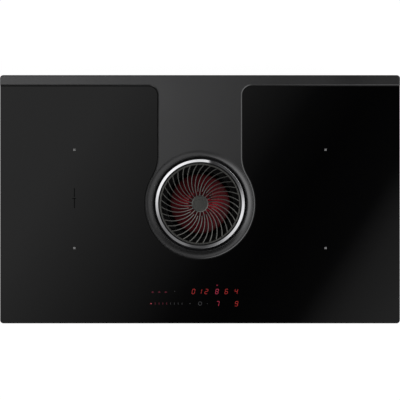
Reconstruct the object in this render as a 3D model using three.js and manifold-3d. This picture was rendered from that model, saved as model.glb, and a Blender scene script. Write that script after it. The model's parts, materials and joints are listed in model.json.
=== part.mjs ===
// Downdraft induction cooktop: a pane of ceramic glass with a keyhole surround of die-cast aluminium,
// a round air intake with a swept-vane grille, four induction coils in a sheet pan, and an extractor
// with a centrifugal blower below. Millimetres, +Z up, +Y to the back. Z = 0 is the extractor's base.

import * as THREE from 'three';
import * as BufferGeometryUtils from 'three/addons/utils/BufferGeometryUtils.js';
import Module from 'manifold-3d';

// Overall size and the fit in the worktop.
const WIDTH = 830;
const DEPTH = 515;
const UNDER_WORKTOP = 215;
const FIT = 0.3;
const ROUND_STEPS = 32;
const CORNER_RADIUS = 7;
const CUTOUT_MARGIN = 11.5;
const BODY_CLEARANCE = 10;
const SEAL_THICKNESS = 2;
const SEAL_WIDTH = 9;
const SEAL_SETBACK = 1.5;

// Glass and surround.
const GLASS_THICKNESS = 4;
const GLASS_BEVEL = 0.8;
const LIP_THICKNESS = 2.2;
const LIP_OVERLAP = 4;
const LIP_CHAMFER = 1.4;
const NOTCH_CLEARANCE = 0.6;
const BAR_DEPTH = 21.2;
const NECK_HALF_WIDTH = 87;
const NECK_FILLET = 20;
const FLARE_RADIUS = 78;
const COLLAR_RADIUS = 114;
const INTAKE_FROM_BACK = 266.8;

// Stepped well of the intake, outside in.
const DISH_RADIUS = 112.3;
const DISH_DROP = 1.6;
const MOUTH_RADIUS = 100.5;
const WELL_RADIUS = 96.6;
const BEVEL_DROP = 4;
const SKIRT_WALL = 3;
const SKIRT_DROP = 14;
const RING_OUTER_RADIUS = 93.2;
const RING_INNER_RADIUS = 86.6;
const RING_DROP = 3.5;
const RING_CONE = 4;
const RING_LAND = 5;
const LINER_WALL = 2;

// Grille: vanes run from the hub to the rim and are swept clockwise on their way out.
const GRILLE_RADIUS = 84.4;
const GRILLE_RIM_WIDTH = 4.4;
const GRILLE_CLEARANCE = 0.6;
const GRILLE_LEDGE_WIDTH = 3.6;
const GRILLE_HEIGHT = 9;
const GRILLE_DROP = 1;
const GRILLE_DOME = 3;
const HUB_RADIUS = 17.5;
const HUB_DISC_RADIUS = 10;
const HUB_CHAMFER = 2.3;
const VANE_PAIRS = 18;
const VANE_TOP_WIDTH = 1.9;
const VANE_BOTTOM_WIDTH = 1.3;
const VANE_SWEEP = THREE.MathUtils.degToRad(26.5);
const VANE_CURVE = 1.32;
const VANE_PHASE = THREE.MathUtils.degToRad(1.5);
const VANE_RECESS = 0.8;
const SHORT_VANE_RADIUS = 25.6;

// Filter basket, grease filter and deflector.
const BASKET_WALL = 2;
const BASKET_CLEARANCE = 1.5;
const BASKET_RIM_HEIGHT = 3;
const BASKET_LEDGE_DROP = 8;
const BASKET_LEDGE = 3.4;
const BASKET_BARS = 8;
const BASKET_BAR_WIDTH = 9;
const SLEEVE_HEIGHT = 55;
const WINDOW_HEIGHT = 58;
const CUP_HEIGHT = 30;
const POST_RADIUS = 6;
const FILTER_WALL = 4;
const DEFLECTOR_RADIUS = 62.5;
const DEFLECTOR_CROWN_RADIUS = 24;
const DEFLECTOR_FALL = 12;
const DEFLECTOR_WALL = 2;
const DEFLECTOR_GAP = 2;

// Hob body.
const PAN_DROP = 54;
const PAN_SHEET = 1.2;
const VENT_WIDTH = 54;
const VENT_HEIGHT = 6;
const VENT_RISE = 18;
const PAN_CORNER = 6;
const FRAME_SHEET = 1.5;
const FRAME_FLANGE = 14;
const FRAME_SKIRT = 14;
const CENTRE_HALF_WIDTH = 112;
const TOUCH_BAY_DEPTH = 84;
const ZONE_FROM_SIDE = 154.4;
const ZONE_PITCH = 204;
const ZONE_MIDDLE_FROM_BACK = 256.6;
const COIL_WIDTH = 186;
const COIL_GAP = 14;
const COIL_EYE_RADIUS = 24;
const COIL_HEIGHT = 5;
const COIL_BASE_HEIGHT = 8;
const FERRITE_WIDTH = 14;
const FERRITE_BARS = 6;
const MICA_THICKNESS = 0.8;
const MICA_CORNER = 20;
const MICA_MARGIN = 4;

// Electronics of one side: board, heat sink and fan.
const BOARD_WIDTH = 236;
const BOARD_DEPTH = 186;
const BOARD_THICKNESS = 1.6;
const BOARD_STANDOFF = 5;
const HEAT_SINK_WIDTH = 62;
const HEAT_SINK_HEIGHT = 26;
const HEAT_SINK_FINS = 9;
const SINK_SETBACK = 12;
const STANDOFF_RADIUS = 4;
const CAPACITOR_RADIUS = 11;
const CAPACITOR_HEIGHT = 24;
const CAPACITOR_PITCH = 26;
const CAPACITOR_SETBACK = 30;
const CHOKE_WIDTH = 40;
const CHOKE_DEPTH = 36;
const CHOKE_HEIGHT = 20;
const CHOKE_PITCH = 52;
const RELAY_WIDTH = 20;
const RELAY_DEPTH = 30;
const RELAY_HEIGHT = 16;
const CONNECTOR_WIDTH = 14;
const CONNECTOR_LENGTH = 100;
const CONNECTOR_HEIGHT = 12;
const COMPONENT_GAP = 14;
const FAN_SIZE = 80;
const FAN_HEIGHT = 25;
const FAN_HUB_RADIUS = 17;
const FAN_TIP_RADIUS = 36;
const FAN_BLADES = 5;
const FAN_FROM_BAY = 16;
const FAN_FROM_FRONT = 44;
const FAN_TO_BOARD = 8;

// Touch control behind the front glass.
const TOUCH_ROW_FROM_FRONT = 53.6;
const TOUCH_WIDTH = 216;
const TOUCH_DEPTH = 44;
const GUIDE_HEIGHT = 6;
const CARRIER_WALL = 2;
const CHIP_HEIGHT = 4;
const CHIP_PITCH = 45;
const CHIP_WIDTH = 20;
const CHIP_DEPTH = 18;
const ROW_OFFSET = 12.7;
const FIRST_ROW_DIGITS = [-13.5, 1.9, 13.3, 35.1, 54.6, 76];
const SECOND_ROW_DIGITS = [36.4, 75.4];
const SLIDER_LEFT = -102;
const SLIDER_LENGTH = 66;

// Extractor: air channel, filter chamber, scroll, tray.
const MOULD_WALL = 2.5;
const FLANGE_WIDTH = 8;
const CHANNEL_HEIGHT = 50;
const CHAMBER_AIR_GAP = 28;
const CHANNEL_END_RADIUS = 96;
const SHARED_WALL = 3.7;
const BLOWER_FROM_BACK = 242.5;
const SCROLL_START = 101;
const SCROLL_GROWTH = 41;
const SCROLL_TONGUE = THREE.MathUtils.degToRad(138);
const SCROLL_END_FROM_BACK = 52;
const TRAY_HEIGHT = 30;
const TRAY_GROUND_GAP = 2;
const TRAY_CLEARANCE = 0.8;
const DRAIN_RADIUS = 6;
const COLLAR_DEPTH = 12;
const GASKET_WIDTH = 3.4;
const GRIP_WIDTH = 56;

// Blower.
const IMPELLER_RADIUS = 88;
const IMPELLER_BLADE_DEPTH = 15;
const IMPELLER_HEIGHT = 87;
const IMPELLER_GROUND_GAP = 12;
const IMPELLER_BLADES = 20;
const INLET_RADIUS = 66;
const INLET_LIP = 8;
const INLET_DEPTH = 12;
const INLET_WALL = 2;
const MOTOR_RADIUS = 42;
const MOTOR_HEIGHT = 40;
const MOTOR_BORE_DEPTH = 20;
const SHAFT_RADIUS = 4;
const IMPELLER_BOSS = 20;

// Flat-duct outlet.
const DUCT_WIDTH = 222;
const DUCT_HEIGHT = 89;
const DUCT_WALL = 2.5;
const DUCT_LENGTH = 34;
const DUCT_FLANGE = 3;
const FLAP_THICKNESS = 2;
const FLAP_PIN_RADIUS = 2;

// Mains connection.
const TERMINAL_WIDTH = 110;
const TERMINAL_DEPTH = 90;
const TERMINAL_HEIGHT = 40;
const GLAND_RADIUS = 11;
const GLAND_BORE_RADIUS = 5;
const GLAND_THREAD = 9;
const GLAND_NUT = 7;
const GLAND_NUT_STEP = 4;
const GLAND_DOME = 11;
const TERMINAL_INSET = 22;
const TERMINAL_PITCH = 14;
const TERMINAL_BLOCK_DEPTH = 22;
const TERMINAL_BLOCK_HEIGHT = 20;
const TERMINAL_WELL_RADIUS = 4;
const TERMINAL_WELL_DEPTH = 8;

// Worktop clamps.
const CLAMP_FROM_MIDDLE = 150;
const CLAMP_STANDOFF = 4.6;
const CLAMP_SCREW_RADIUS = 2.6;
const CLAMP_ARM = 32;
const CLAMP_HEIGHT = 14;
const CLAMP_EAR = 2;
const CLAMP_EAR_RISE = 2;
const CLAMP_EAR_TOP = -7;

// Places that follow from the sizes. Heights in the hob are counted from the worktop's top face.
const halfWidth = WIDTH / 2;
const back = DEPTH / 2;
const front = -back;
const barFront = back - BAR_DEPTH;
const intakeY = back - INTAKE_FROM_BACK;
const glassBottom = SEAL_THICKNESS + FIT;
const glassTopZ = glassBottom + GLASS_THICKNESS;
const lipBottom = glassTopZ + FIT;
const plateTop = lipBottom + LIP_THICKNESS;
const flareY = intakeY + Math.sqrt((COLLAR_RADIUS + FLARE_RADIUS) ** 2 - (NECK_HALF_WIDTH + FLARE_RADIUS) ** 2);
const ringTop = plateTop - RING_DROP;
const ringBottom = ringTop - RING_CONE - RING_LAND;
const linerTop = ringBottom - FIT;
const rimTop = ringTop - RING_CONE - GRILLE_DROP;
const rimBottom = rimTop - GRILLE_HEIGHT;
const grilleLedge = rimBottom - FIT;
const basketLedge = grilleLedge - BASKET_LEDGE_DROP;
const seatBore = GRILLE_RADIUS + GRILLE_CLEARANCE;
const linerBore = seatBore - GRILLE_LEDGE_WIDTH;
const tubeBore = linerBore - BASKET_LEDGE;
const tubeRadius = tubeBore + LINER_WALL;
const basketRadius = tubeBore - BASKET_CLEARANCE;
const basketRimTop = basketLedge + FIT + BASKET_RIM_HEIGHT;
const windowTop = basketRimTop - SLEEVE_HEIGHT;
const cupTop = windowTop - WINDOW_HEIGHT;
const basketBottom = cupTop - CUP_HEIGHT;
const panBottom = -PAN_DROP;
const panFloor = panBottom + PAN_SHEET;
const panHalfWidth = halfWidth - CUTOUT_MARGIN - BODY_CLEARANCE;
const panHalfDepth = back - CUTOUT_MARGIN - BODY_CLEARANCE + 1;
const frameTop = SEAL_THICKNESS;
const frameBottom = frameTop - FRAME_SHEET;
const frameHalfWidth = halfWidth - CUTOUT_MARGIN - 3.5;
const frameHalfDepth = back - CUTOUT_MARGIN - 3.5;
const panTop = frameBottom - FIT;
const micaTop = frameTop;
const coilTop = micaTop - MICA_THICKNESS - FIT;
const coilBaseTop = coilTop - COIL_HEIGHT - FIT;
const trayTop = coilBaseTop - COIL_BASE_HEIGHT - FIT;
const zoneX = halfWidth - ZONE_FROM_SIDE;
const zoneMiddleY = back - ZONE_MIDDLE_FROM_BACK;
const coilLength = ZONE_PITCH - COIL_GAP;
const boardBottom = panFloor + FIT;
const touchY = front + TOUCH_ROW_FROM_FRONT;
const carrierHalfWidth = TOUCH_WIDTH / 2 + FIT + CARRIER_WALL;
const carrierRear = touchY + TOUCH_DEPTH / 2 + FIT + CARRIER_WALL;
const touchBayBack = -panHalfDepth + TOUCH_BAY_DEPTH;
const bayInner = CENTRE_HALF_WIDTH + 1;
const bayOuter = panHalfWidth - PAN_SHEET - FRAME_SHEET - 1;
const bayHalfDepth = panHalfDepth - PAN_SHEET - FRAME_SHEET - 1;
const fanX = bayInner + FAN_FROM_BAY + FAN_SIZE / 2;
const fanY = -bayHalfDepth + FAN_FROM_FRONT + FAN_SIZE / 2;
const boardX = bayInner + FAN_FROM_BAY;
const boardY = fanY + FAN_SIZE / 2 + FAN_TO_BOARD;
const boardTop = boardBottom + BOARD_STANDOFF + BOARD_THICKNESS;
const clampX = panHalfWidth + CLAMP_STANDOFF;
const leftShift = -bayInner - bayOuter;
const guideBottom = frameTop - GUIDE_HEIGHT;
const deflectorTop = rimBottom - DEFLECTOR_GAP;
const lowerEarTop = panBottom + CLAMP_EAR_RISE + CLAMP_EAR;

// Places in the extractor, counted from its base.
const channelTop = UNDER_WORKTOP + panBottom - FIT;
const channelBottom = channelTop - CHANNEL_HEIGHT;
const chamberTop = channelBottom - FIT;
const scrollTop = chamberTop - MOULD_WALL - FIT;
const chamberRadius = basketRadius + CHAMBER_AIR_GAP;
const chamberFloor = TRAY_GROUND_GAP + TRAY_HEIGHT + FIT;
const blowerX = chamberRadius + SHARED_WALL + scrollRadius(Math.PI);
const blowerY = back - BLOWER_FROM_BACK;
const scrollEnd = back - SCROLL_END_FROM_BACK - blowerY;
const channelLeft = Math.cos(SCROLL_TONGUE) * SCROLL_START;
const channelRight = SCROLL_START + SCROLL_GROWTH;
const motorTop = MOULD_WALL + FIT + MOTOR_HEIGHT;
const impellerBottom = IMPELLER_GROUND_GAP;
const impellerTop = impellerBottom + IMPELLER_HEIGHT;
const ductCentreX = blowerX + (channelLeft + channelRight) / 2;
const ductCentreZ = MOULD_WALL + (scrollTop - MOULD_WALL) / 2;
const ductStart = back - SCROLL_END_FROM_BACK + FIT;
const hubTop = motorTop + IMPELLER_BOSS;
const flapPinY = ductStart + DUCT_FLANGE + 12;
const flapPinZ = ductCentreZ + DUCT_HEIGHT / 2 - DUCT_WALL - 6;
const terminalX = -panHalfWidth + TERMINAL_INSET;
const terminalY = panHalfDepth - TERMINAL_INSET - TERMINAL_DEPTH;
const glandZ = channelTop - TERMINAL_HEIGHT / 2;

const materials = {
	glass: finish(0x0b0b0d, 0.05, 0),
	castGrey: finish(0x4a4a4c, 0.4, 0.8),
	polished: finish(0xd8d8da, 0.12, 1),
	grille: finish(0x8b8986, 0.35, 0.7),
	red: finish(0x7a1020, 0.25, 0.2),
	steel: finish(0xb4b6b8, 0.35, 1),
	blackCoat: finish(0x1a1a1b, 0.4, 0.2),
	zinc: finish(0x9fa3a6, 0.5, 0.9),
	aluminium: finish(0xc3c5c8, 0.45, 1),
	mould: finish(0x1c1d1f, 0.6, 0),
	rubber: finish(0x151515, 0.9, 0),
	copper: finish(0xa8602f, 0.4, 0.8),
	mica: finish(0xd9d3c4, 0.8, 0),
	board: finish(0x1f5a34, 0.6, 0),
	plastic: finish(0xdfe0de, 0.5, 0),
};

function finish(color, roughness, metalness) {
	return new THREE.MeshStandardMaterial({ color, roughness, metalness });
}

// Solid modelling helpers.
const wasm = await Module();
wasm.setup();

// Merges shared corners and drops the triangles that this leaves without an area.
function weld(geometry) {
	const bare = new THREE.BufferGeometry();
	bare.setAttribute('position', geometry.getAttribute('position').clone());
	bare.setIndex(geometry.index);
	const merged = BufferGeometryUtils.mergeVertices(bare, 1e-4);
	const corners = merged.index.array;
	const kept = [];
	for (let i = 0; i < corners.length; i += 3) {
		const [a, b, c] = [corners[i], corners[i + 1], corners[i + 2]];
		if (a !== b && b !== c && c !== a) kept.push(a, b, c);
	}
	merged.setIndex(kept);
	return merged;
}

function solidOf(geometry) {
	const welded = geometry.userData.closed ? geometry : weld(geometry);
	const vertProperties = new Float32Array(welded.getAttribute('position').array);
	const triVerts = new Uint32Array(welded.index.array);
	return new wasm.Manifold(new wasm.Mesh({ numProp: 3, vertProperties, triVerts }));
}

function geometryOf(solid) {
	const mesh = solid.getMesh();
	const geometry = new THREE.BufferGeometry();
	geometry.setAttribute('position', new THREE.BufferAttribute(mesh.vertProperties, 3));
	geometry.setIndex(new THREE.BufferAttribute(mesh.triVerts, 1));
	geometry.computeVertexNormals();
	geometry.userData.closed = true;
	return geometry;
}

function join(...geometries) {
	const solids = geometries.map(solidOf);
	return geometryOf(solids.reduce((all, next) => all.add(next)));
}

function cut(geometry, ...tools) {
	const solids = tools.map(solidOf);
	return geometryOf(solids.reduce((rest, tool) => rest.subtract(tool), solidOf(geometry)));
}

// Points on an arc, both ends included.
function arc(x, y, radius, from, to, steps) {
	const points = [];
	for (let i = 0; i <= steps; i++) {
		const angle = from + (to - from) * i / steps;
		points.push(new THREE.Vector2(x + radius * Math.cos(angle), y + radius * Math.sin(angle)));
	}
	return points;
}

function circle(x, y, radius, steps = ROUND_STEPS) {
	return arc(x, y, radius, 0, 2 * Math.PI, steps).slice(0, -1);
}

function roundedRectangle(x0, y0, x1, y1, radius, steps = 4) {
	const quarter = Math.PI / 2;
	return [
		...arc(x1 - radius, y0 + radius, radius, -quarter, 0, steps),
		...arc(x1 - radius, y1 - radius, radius, 0, quarter, steps),
		...arc(x0 + radius, y1 - radius, radius, quarter, 2 * quarter, steps),
		...arc(x0 + radius, y0 + radius, radius, 2 * quarter, 3 * quarter, steps),
	];
}

function rectangle(x0, y0, x1, y1) {
	const corners = [[x0, y0], [x1, y0], [x1, y1], [x0, y1]];
	return corners.map(([x, y]) => new THREE.Vector2(x, y));
}

// A flat outline, with holes if given, made solid between two heights.
function plate(outline, low, high, holes = []) {
	const shape = new THREE.Shape(outline);
	shape.holes = holes.map((points) => new THREE.Path(points));
	const geometry = new THREE.ExtrudeGeometry(shape, { depth: high - low, bevelEnabled: false });
	return geometry.translate(0, 0, low);
}

function block(x0, y0, z0, x1, y1, z1) {
	const geometry = new THREE.BoxGeometry(x1 - x0, y1 - y0, z1 - z0);
	return geometry.translate((x0 + x1) / 2, (y0 + y1) / 2, (z0 + z1) / 2);
}

function rod(x, y, radius, low, high, steps = 16) {
	return plate(circle(x, y, radius, steps), low, high);
}

// A rod along X, from x0 to x1.
function crossRod(x0, x1, y, z, radius, steps = 12) {
	return plate(circle(0, 0, radius, steps), x0, x1).rotateY(Math.PI / 2).translate(0, y, z);
}

// A rod along Y, from y0 to y1.
function depthRod(x, z, radius, y0, y1, steps = 12) {
	return plate(circle(0, 0, radius, steps), y0, y1).rotateX(-Math.PI / 2).translate(x, 0, z);
}

// A closed profile of [radius, height] pairs, turned round the Z axis.
function revolve(profile, steps = ROUND_STEPS) {
	const points = profile.map(([radius, height]) => new THREE.Vector2(radius, height));
	if (THREE.ShapeUtils.isClockWise(points)) points.reverse();
	const onAxis = points.findIndex((point, i) => point.x === 0 && points.at(i - 1).x === 0);
	const turned = onAxis < 0 ? points : [...points.slice(onAxis), ...points.slice(0, onAxis)];
	if (onAxis < 0) turned.push(turned[0]);
	return new THREE.LatheGeometry(turned, steps).rotateX(Math.PI / 2);
}

// Skins a row of closed loops with as many points each, and caps both ends.
function skin(loops, capTriangles) {
	const size = loops[0].length;
	const position = loops.flat().flatMap((point) => [point.x, point.y, point.z]);
	const index = [];
	for (let i = 0; i + 1 < loops.length; i++) {
		for (let j = 0; j < size; j++) {
			const here = i * size + j;
			const beside = i * size + (j + 1) % size;
			index.push(here, beside, beside + size, here, beside + size, here + size);
		}
	}
	const last = (loops.length - 1) * size;
	for (const [a, b, c] of capTriangles) {
		index.push(a, c, b);
		index.push(last + a, last + b, last + c);
	}
	const geometry = new THREE.BufferGeometry();
	geometry.setAttribute('position', new THREE.Float32BufferAttribute(position, 3));
	geometry.setIndex(index);
	return geometry;
}

// Flat outlines of the same point count, stacked at their heights, lowest first.
function stack(layers) {
	const loops = layers.map(([outline, z]) => outline.map((point) => new THREE.Vector3(point.x, point.y, z)));
	return skin(loops, THREE.ShapeUtils.triangulateShape(layers[0][0], []));
}

// The right-hand side of the keyhole, from the collar's front up to the bar, moved in by inset.
function keyholeSide(inset) {
	const flareX = NECK_HALF_WIDTH + FLARE_RADIUS;
	const tangent = Math.atan2(flareY - intakeY, flareX);
	const collar = arc(0, intakeY, COLLAR_RADIUS - inset, -Math.PI / 2, tangent, 13);
	const flare = arc(flareX, flareY, FLARE_RADIUS + inset, Math.PI + tangent, Math.PI, 4);
	const filletX = NECK_HALF_WIDTH + NECK_FILLET;
	const fillet = arc(filletX, barFront - NECK_FILLET, NECK_FILLET + inset, Math.PI, Math.PI / 2, 5);
	return [...collar.slice(0, -1), ...flare, ...fillet];
}

function mirrored(points) {
	return points.map((point) => new THREE.Vector2(-point.x, point.y)).reverse();
}

// Surround seen from above: inset moves the edges at the glass, outerInset those at the worktop.
function keyholeOutline(inset, outerInset) {
	const barEnd = new THREE.Vector2(halfWidth - outerInset, barFront + inset);
	const cornerX = halfWidth - CORNER_RADIUS;
	const cornerY = back - CORNER_RADIUS;
	const corner = arc(cornerX, cornerY, CORNER_RADIUS - outerInset, 0, Math.PI / 2, 3);
	const right = [...keyholeSide(inset), barEnd, ...corner];
	return [...right, ...mirrored(right.slice(1))];
}

// Glass seen from above, with every edge moved in by inset.
function glassOutline(inset) {
	const cornerX = halfWidth - CORNER_RADIUS;
	const cornerY = front + CORNER_RADIUS;
	const corner = arc(cornerX, cornerY, CORNER_RADIUS - inset, -Math.PI / 2, 0, 3);
	const rearCorner = new THREE.Vector2(halfWidth - inset, barFront + LIP_OVERLAP - inset);
	const notch = keyholeSide(LIP_OVERLAP - inset).reverse();
	const right = [...corner, rearCorner, ...notch];
	return [...right, ...mirrored(right.slice(0, -1))];
}

function glassTop() {
	return stack([
		[glassOutline(GLASS_BEVEL), glassBottom],
		[glassOutline(0), glassBottom + GLASS_BEVEL],
		[glassOutline(0), glassTopZ - GLASS_BEVEL],
		[glassOutline(GLASS_BEVEL), glassTopZ],
	]);
}

// Die-cast plate with a lip on the glass, a plug in the notch, and the skirt and dish of the well.
function surround() {
	const plug = keyholeOutline(LIP_OVERLAP + NOTCH_CLEARANCE, 0);
	const body = stack([
		[plug, glassBottom],
		[plug, lipBottom],
		[keyholeOutline(0, 0), lipBottom],
		[keyholeOutline(0, 0), plateTop - LIP_CHAMFER],
		[keyholeOutline(LIP_CHAMFER, LIP_CHAMFER), plateTop],
	]);
	const skirtBottom = glassBottom - SKIRT_DROP;
	const skirtRadius = WELL_RADIUS + SKIRT_WALL;
	const skirt = rod(0, intakeY, skirtRadius, skirtBottom, glassBottom + 1, ROUND_STEPS);
	const dish = [];
	for (let i = 0; i <= 3; i++) {
		const share = i / 3;
		const radius = MOUTH_RADIUS + (DISH_RADIUS - MOUTH_RADIUS) * share;
		dish.push([radius, plateTop - DISH_DROP * (1 - share) ** 1.6]);
	}
	const well = revolve([
		[0, skirtBottom - 1],
		[WELL_RADIUS, skirtBottom - 1],
		[WELL_RADIUS, plateTop - DISH_DROP - BEVEL_DROP],
		...dish,
		[DISH_RADIUS, plateTop + 1],
		[0, plateTop + 1],
	]).translate(0, intakeY, 0);
	return cut(join(body, skirt), well);
}

function worktopSeal() {
	const outer = roundedRectangle(
		-halfWidth + SEAL_SETBACK, front + SEAL_SETBACK,
		halfWidth - SEAL_SETBACK, back - SEAL_SETBACK, CORNER_RADIUS - SEAL_SETBACK);
	const inset = SEAL_SETBACK + SEAL_WIDTH;
	const inner = rectangle(-halfWidth + inset, front + inset, halfWidth - inset, back - inset);
	return plate(outer, 0, SEAL_THICKNESS, [inner]);
}

// Sheet frame bonded under the rim of the glass; its skirt is screwed inside the pan.
function glassFrame() {
	const innerX = frameHalfWidth - FRAME_FLANGE;
	const innerY = frameHalfDepth - FRAME_FLANGE;
	const flange = plate(
		rectangle(-frameHalfWidth, -frameHalfDepth, frameHalfWidth, frameHalfDepth),
		frameBottom, frameTop, [rectangle(-innerX, -innerY, innerX, innerY)]);
	const skirtX = panHalfWidth - PAN_SHEET - FIT;
	const skirtY = panHalfDepth - PAN_SHEET - FIT;
	const skirt = plate(
		roundedRectangle(-skirtX, -skirtY, skirtX, skirtY, PAN_CORNER), frameBottom - FRAME_SKIRT, frameTop,
		[rectangle(-innerX, -innerY, innerX, innerY)]);
	const hollow = block(
		-skirtX + FRAME_SHEET, -skirtY + FRAME_SHEET, frameBottom - FRAME_SKIRT - 1,
		skirtX - FRAME_SHEET, skirtY - FRAME_SHEET, frameBottom);
	return join(flange, cut(skirt, hollow));
}

// Two ears on the pan's side wall that hold one clamp screw.
function clampEars(x, y, side) {
	const wall = x - side * CLAMP_STANDOFF;
	const tip = x + side * (CLAMP_SCREW_RADIUS + 2.2);
	const ears = [];
	for (const top of [lowerEarTop, CLAMP_EAR_TOP]) {
		const low = top - CLAMP_EAR;
		const tab = block(Math.min(wall - side, tip), y - 7, low, Math.max(wall - side, tip), y + 7, top);
		ears.push(cut(tab, rod(x, y, CLAMP_SCREW_RADIUS + FIT, low - 1, top + 1, 8)));
	}
	return ears;
}

// Round field of air slots under a fan.
function fanSlots(x) {
	const slots = [];
	for (let i = -2; i <= 2; i++) {
		const half = Math.sqrt(FAN_TIP_RADIUS ** 2 - (i * 13) ** 2);
		const y = fanY + i * 13;
		slots.push(block(x - half, y - 3.5, panBottom - 1, x + half, y + 3.5, panFloor + 1));
	}
	return slots;
}

// Folded pan with the well's opening, air slots under the fans and in the back wall, and clamp ears.
function basePan() {
	const outer = roundedRectangle(-panHalfWidth, -panHalfDepth, panHalfWidth, panHalfDepth, PAN_CORNER);
	const innerX = panHalfWidth - PAN_SHEET;
	const innerY = panHalfDepth - PAN_SHEET;
	const inner = roundedRectangle(-innerX, -innerY, innerX, innerY, PAN_CORNER - PAN_SHEET);
	const shell = cut(plate(outer, panBottom, panTop), plate(inner, panFloor, panTop + 1));
	const opening = rod(0, intakeY, tubeRadius + BODY_CLEARANCE, panBottom - 1, panFloor + 1, ROUND_STEPS);
	const vents = [];
	for (const column of [-4, -3, -2, 2, 3, 4]) {
		const x = column * innerX / 5;
		vents.push(block(
			x - VENT_WIDTH / 2, innerY - 1, panFloor + VENT_RISE,
			x + VENT_WIDTH / 2, panHalfDepth + 1, panFloor + VENT_RISE + VENT_HEIGHT));
	}
	const ears = [];
	for (const side of [-1, 1]) {
		for (const y of [-CLAMP_FROM_MIDDLE, CLAMP_FROM_MIDDLE]) ears.push(...clampEars(side * clampX, y, side));
	}
	return join(cut(shell, opening, ...fanSlots(fanX), ...fanSlots(fanX + leftShift), ...vents), ...ears);
}

// Inverted channel across the middle of the pan; the surround's neck and the glass edges lie on it.
function centreFrame() {
	const low = panFloor + FIT;
	const rear = frameHalfDepth - FRAME_FLANGE - 1;
	const outer = block(-CENTRE_HALF_WIDTH, touchBayBack, low, CENTRE_HALF_WIDTH, rear, frameTop);
	const inside = CENTRE_HALF_WIDTH - FRAME_SHEET;
	const hollow = block(-inside, touchBayBack - 1, low - 1, inside, rear + 1, frameTop - FRAME_SHEET);
	const opening = rod(0, intakeY, WELL_RADIUS + SKIRT_WALL + 1, frameBottom - 1, frameTop + 1, ROUND_STEPS);
	return cut(outer, hollow, opening);
}

// Aluminium plate over the electronics of the right bay, folded down to the pan's floor on two sides.
function coilTray(side) {
	const low = panFloor + FIT;
	const outer = block(bayInner, -bayHalfDepth, low, bayOuter, bayHalfDepth, trayTop);
	const hollow = block(
		bayInner + FRAME_SHEET, -bayHalfDepth - 1, low - 1,
		bayOuter - FRAME_SHEET, bayHalfDepth + 1, trayTop - FRAME_SHEET);
	const tray = cut(outer, hollow).translate(side < 0 ? leftShift : 0, 0, 0);
	const cableHoles = [];
	for (const y of [-ZONE_PITCH / 2, ZONE_PITCH / 2]) {
		cableHoles.push(rod(side * zoneX, zoneMiddleY + y, COIL_EYE_RADIUS / 2, trayTop - 3, trayTop + 1, 12));
	}
	const notchX = carrierHalfWidth + BODY_CLEARANCE;
	const notch = block(-notchX, -bayHalfDepth - 1, low - 1, notchX, carrierRear + BODY_CLEARANCE, trayTop + 1);
	return cut(tray, notch, ...cableHoles);
}

// Insulating sheet over the two coils of one side, about their middle.
function micaSheet() {
	const halfX = COIL_WIDTH / 2 + MICA_MARGIN;
	const halfY = (ZONE_PITCH + coilLength) / 2 + MICA_MARGIN;
	return plate(roundedRectangle(-halfX, -halfY, halfX, halfY, MICA_CORNER, 2), micaTop - MICA_THICKNESS, micaTop);
}

// Flat winding with a round eye, about the zone's centre.
function coilWinding() {
	const halfX = COIL_WIDTH / 2;
	const halfY = coilLength / 2;
	const outline = roundedRectangle(-halfX, -halfY, halfX, halfY, halfX * 0.72, 3);
	return plate(outline, coilTop - COIL_HEIGHT, coilTop, [circle(0, 0, COIL_EYE_RADIUS, 12)]);
}

// Carrier with ferrite bars below it.
function coilBase() {
	const halfX = COIL_WIDTH / 2;
	const halfY = coilLength / 2;
	const discHeight = COIL_BASE_HEIGHT / 4;
	const outline = roundedRectangle(-halfX, -halfY, halfX, halfY, halfX * 0.72, 3);
	const disc = plate(outline, coilBaseTop - discHeight, coilBaseTop, [circle(0, 0, COIL_EYE_RADIUS / 2, 8)]);
	const bars = [];
	for (let i = 0; i < FERRITE_BARS; i++) {
		const bar = block(
			COIL_EYE_RADIUS, -FERRITE_WIDTH / 2, coilBaseTop - COIL_BASE_HEIGHT,
			halfX - 8, FERRITE_WIDTH / 2, coilBaseTop - discHeight / 2);
		bars.push(bar.rotateZ(2 * Math.PI * i / FERRITE_BARS));
	}
	return join(disc, ...bars);
}

// Power board of the right bay on its standoffs, with the tall components of the inverter.
function powerBoard() {
	const right = boardX + BOARD_WIDTH;
	const rear = boardY + BOARD_DEPTH;
	const under = boardBottom + BOARD_STANDOFF;
	const on = boardTop - 0.5;
	const pieces = [block(boardX, boardY, under, right, rear, boardTop)];
	const corner = 2 * STANDOFF_RADIUS;
	for (const x of [boardX + corner, right - corner]) {
		for (const y of [boardY + corner, rear - corner]) {
			pieces.push(rod(x, y, STANDOFF_RADIUS, boardBottom, under + 0.5, 6));
		}
	}
	const partX = boardX + SINK_SETBACK + HEAT_SINK_WIDTH + COMPONENT_GAP;
	for (let i = 0; i < 3; i++) {
		const x = partX + CAPACITOR_RADIUS + i * CAPACITOR_PITCH;
		pieces.push(rod(x, boardY + CAPACITOR_SETBACK, CAPACITOR_RADIUS, on, boardTop + CAPACITOR_HEIGHT, 10));
	}
	const relayX = partX + CHOKE_WIDTH + COMPONENT_GAP;
	for (let i = 0; i < 2; i++) {
		const y = boardY + CAPACITOR_SETBACK + CHOKE_DEPTH + i * CHOKE_PITCH;
		pieces.push(block(partX, y, on, partX + CHOKE_WIDTH, y + CHOKE_DEPTH, boardTop + CHOKE_HEIGHT));
		pieces.push(block(relayX, y, on, relayX + RELAY_WIDTH, y + RELAY_DEPTH, boardTop + RELAY_HEIGHT));
	}
	const connectorX = right - COMPONENT_GAP - CONNECTOR_WIDTH;
	const connectorY = boardY + (BOARD_DEPTH - CONNECTOR_LENGTH) / 2;
	pieces.push(block(
		connectorX, connectorY, on,
		connectorX + CONNECTOR_WIDTH, connectorY + CONNECTOR_LENGTH, boardTop + CONNECTOR_HEIGHT));
	return join(...pieces);
}

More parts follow.
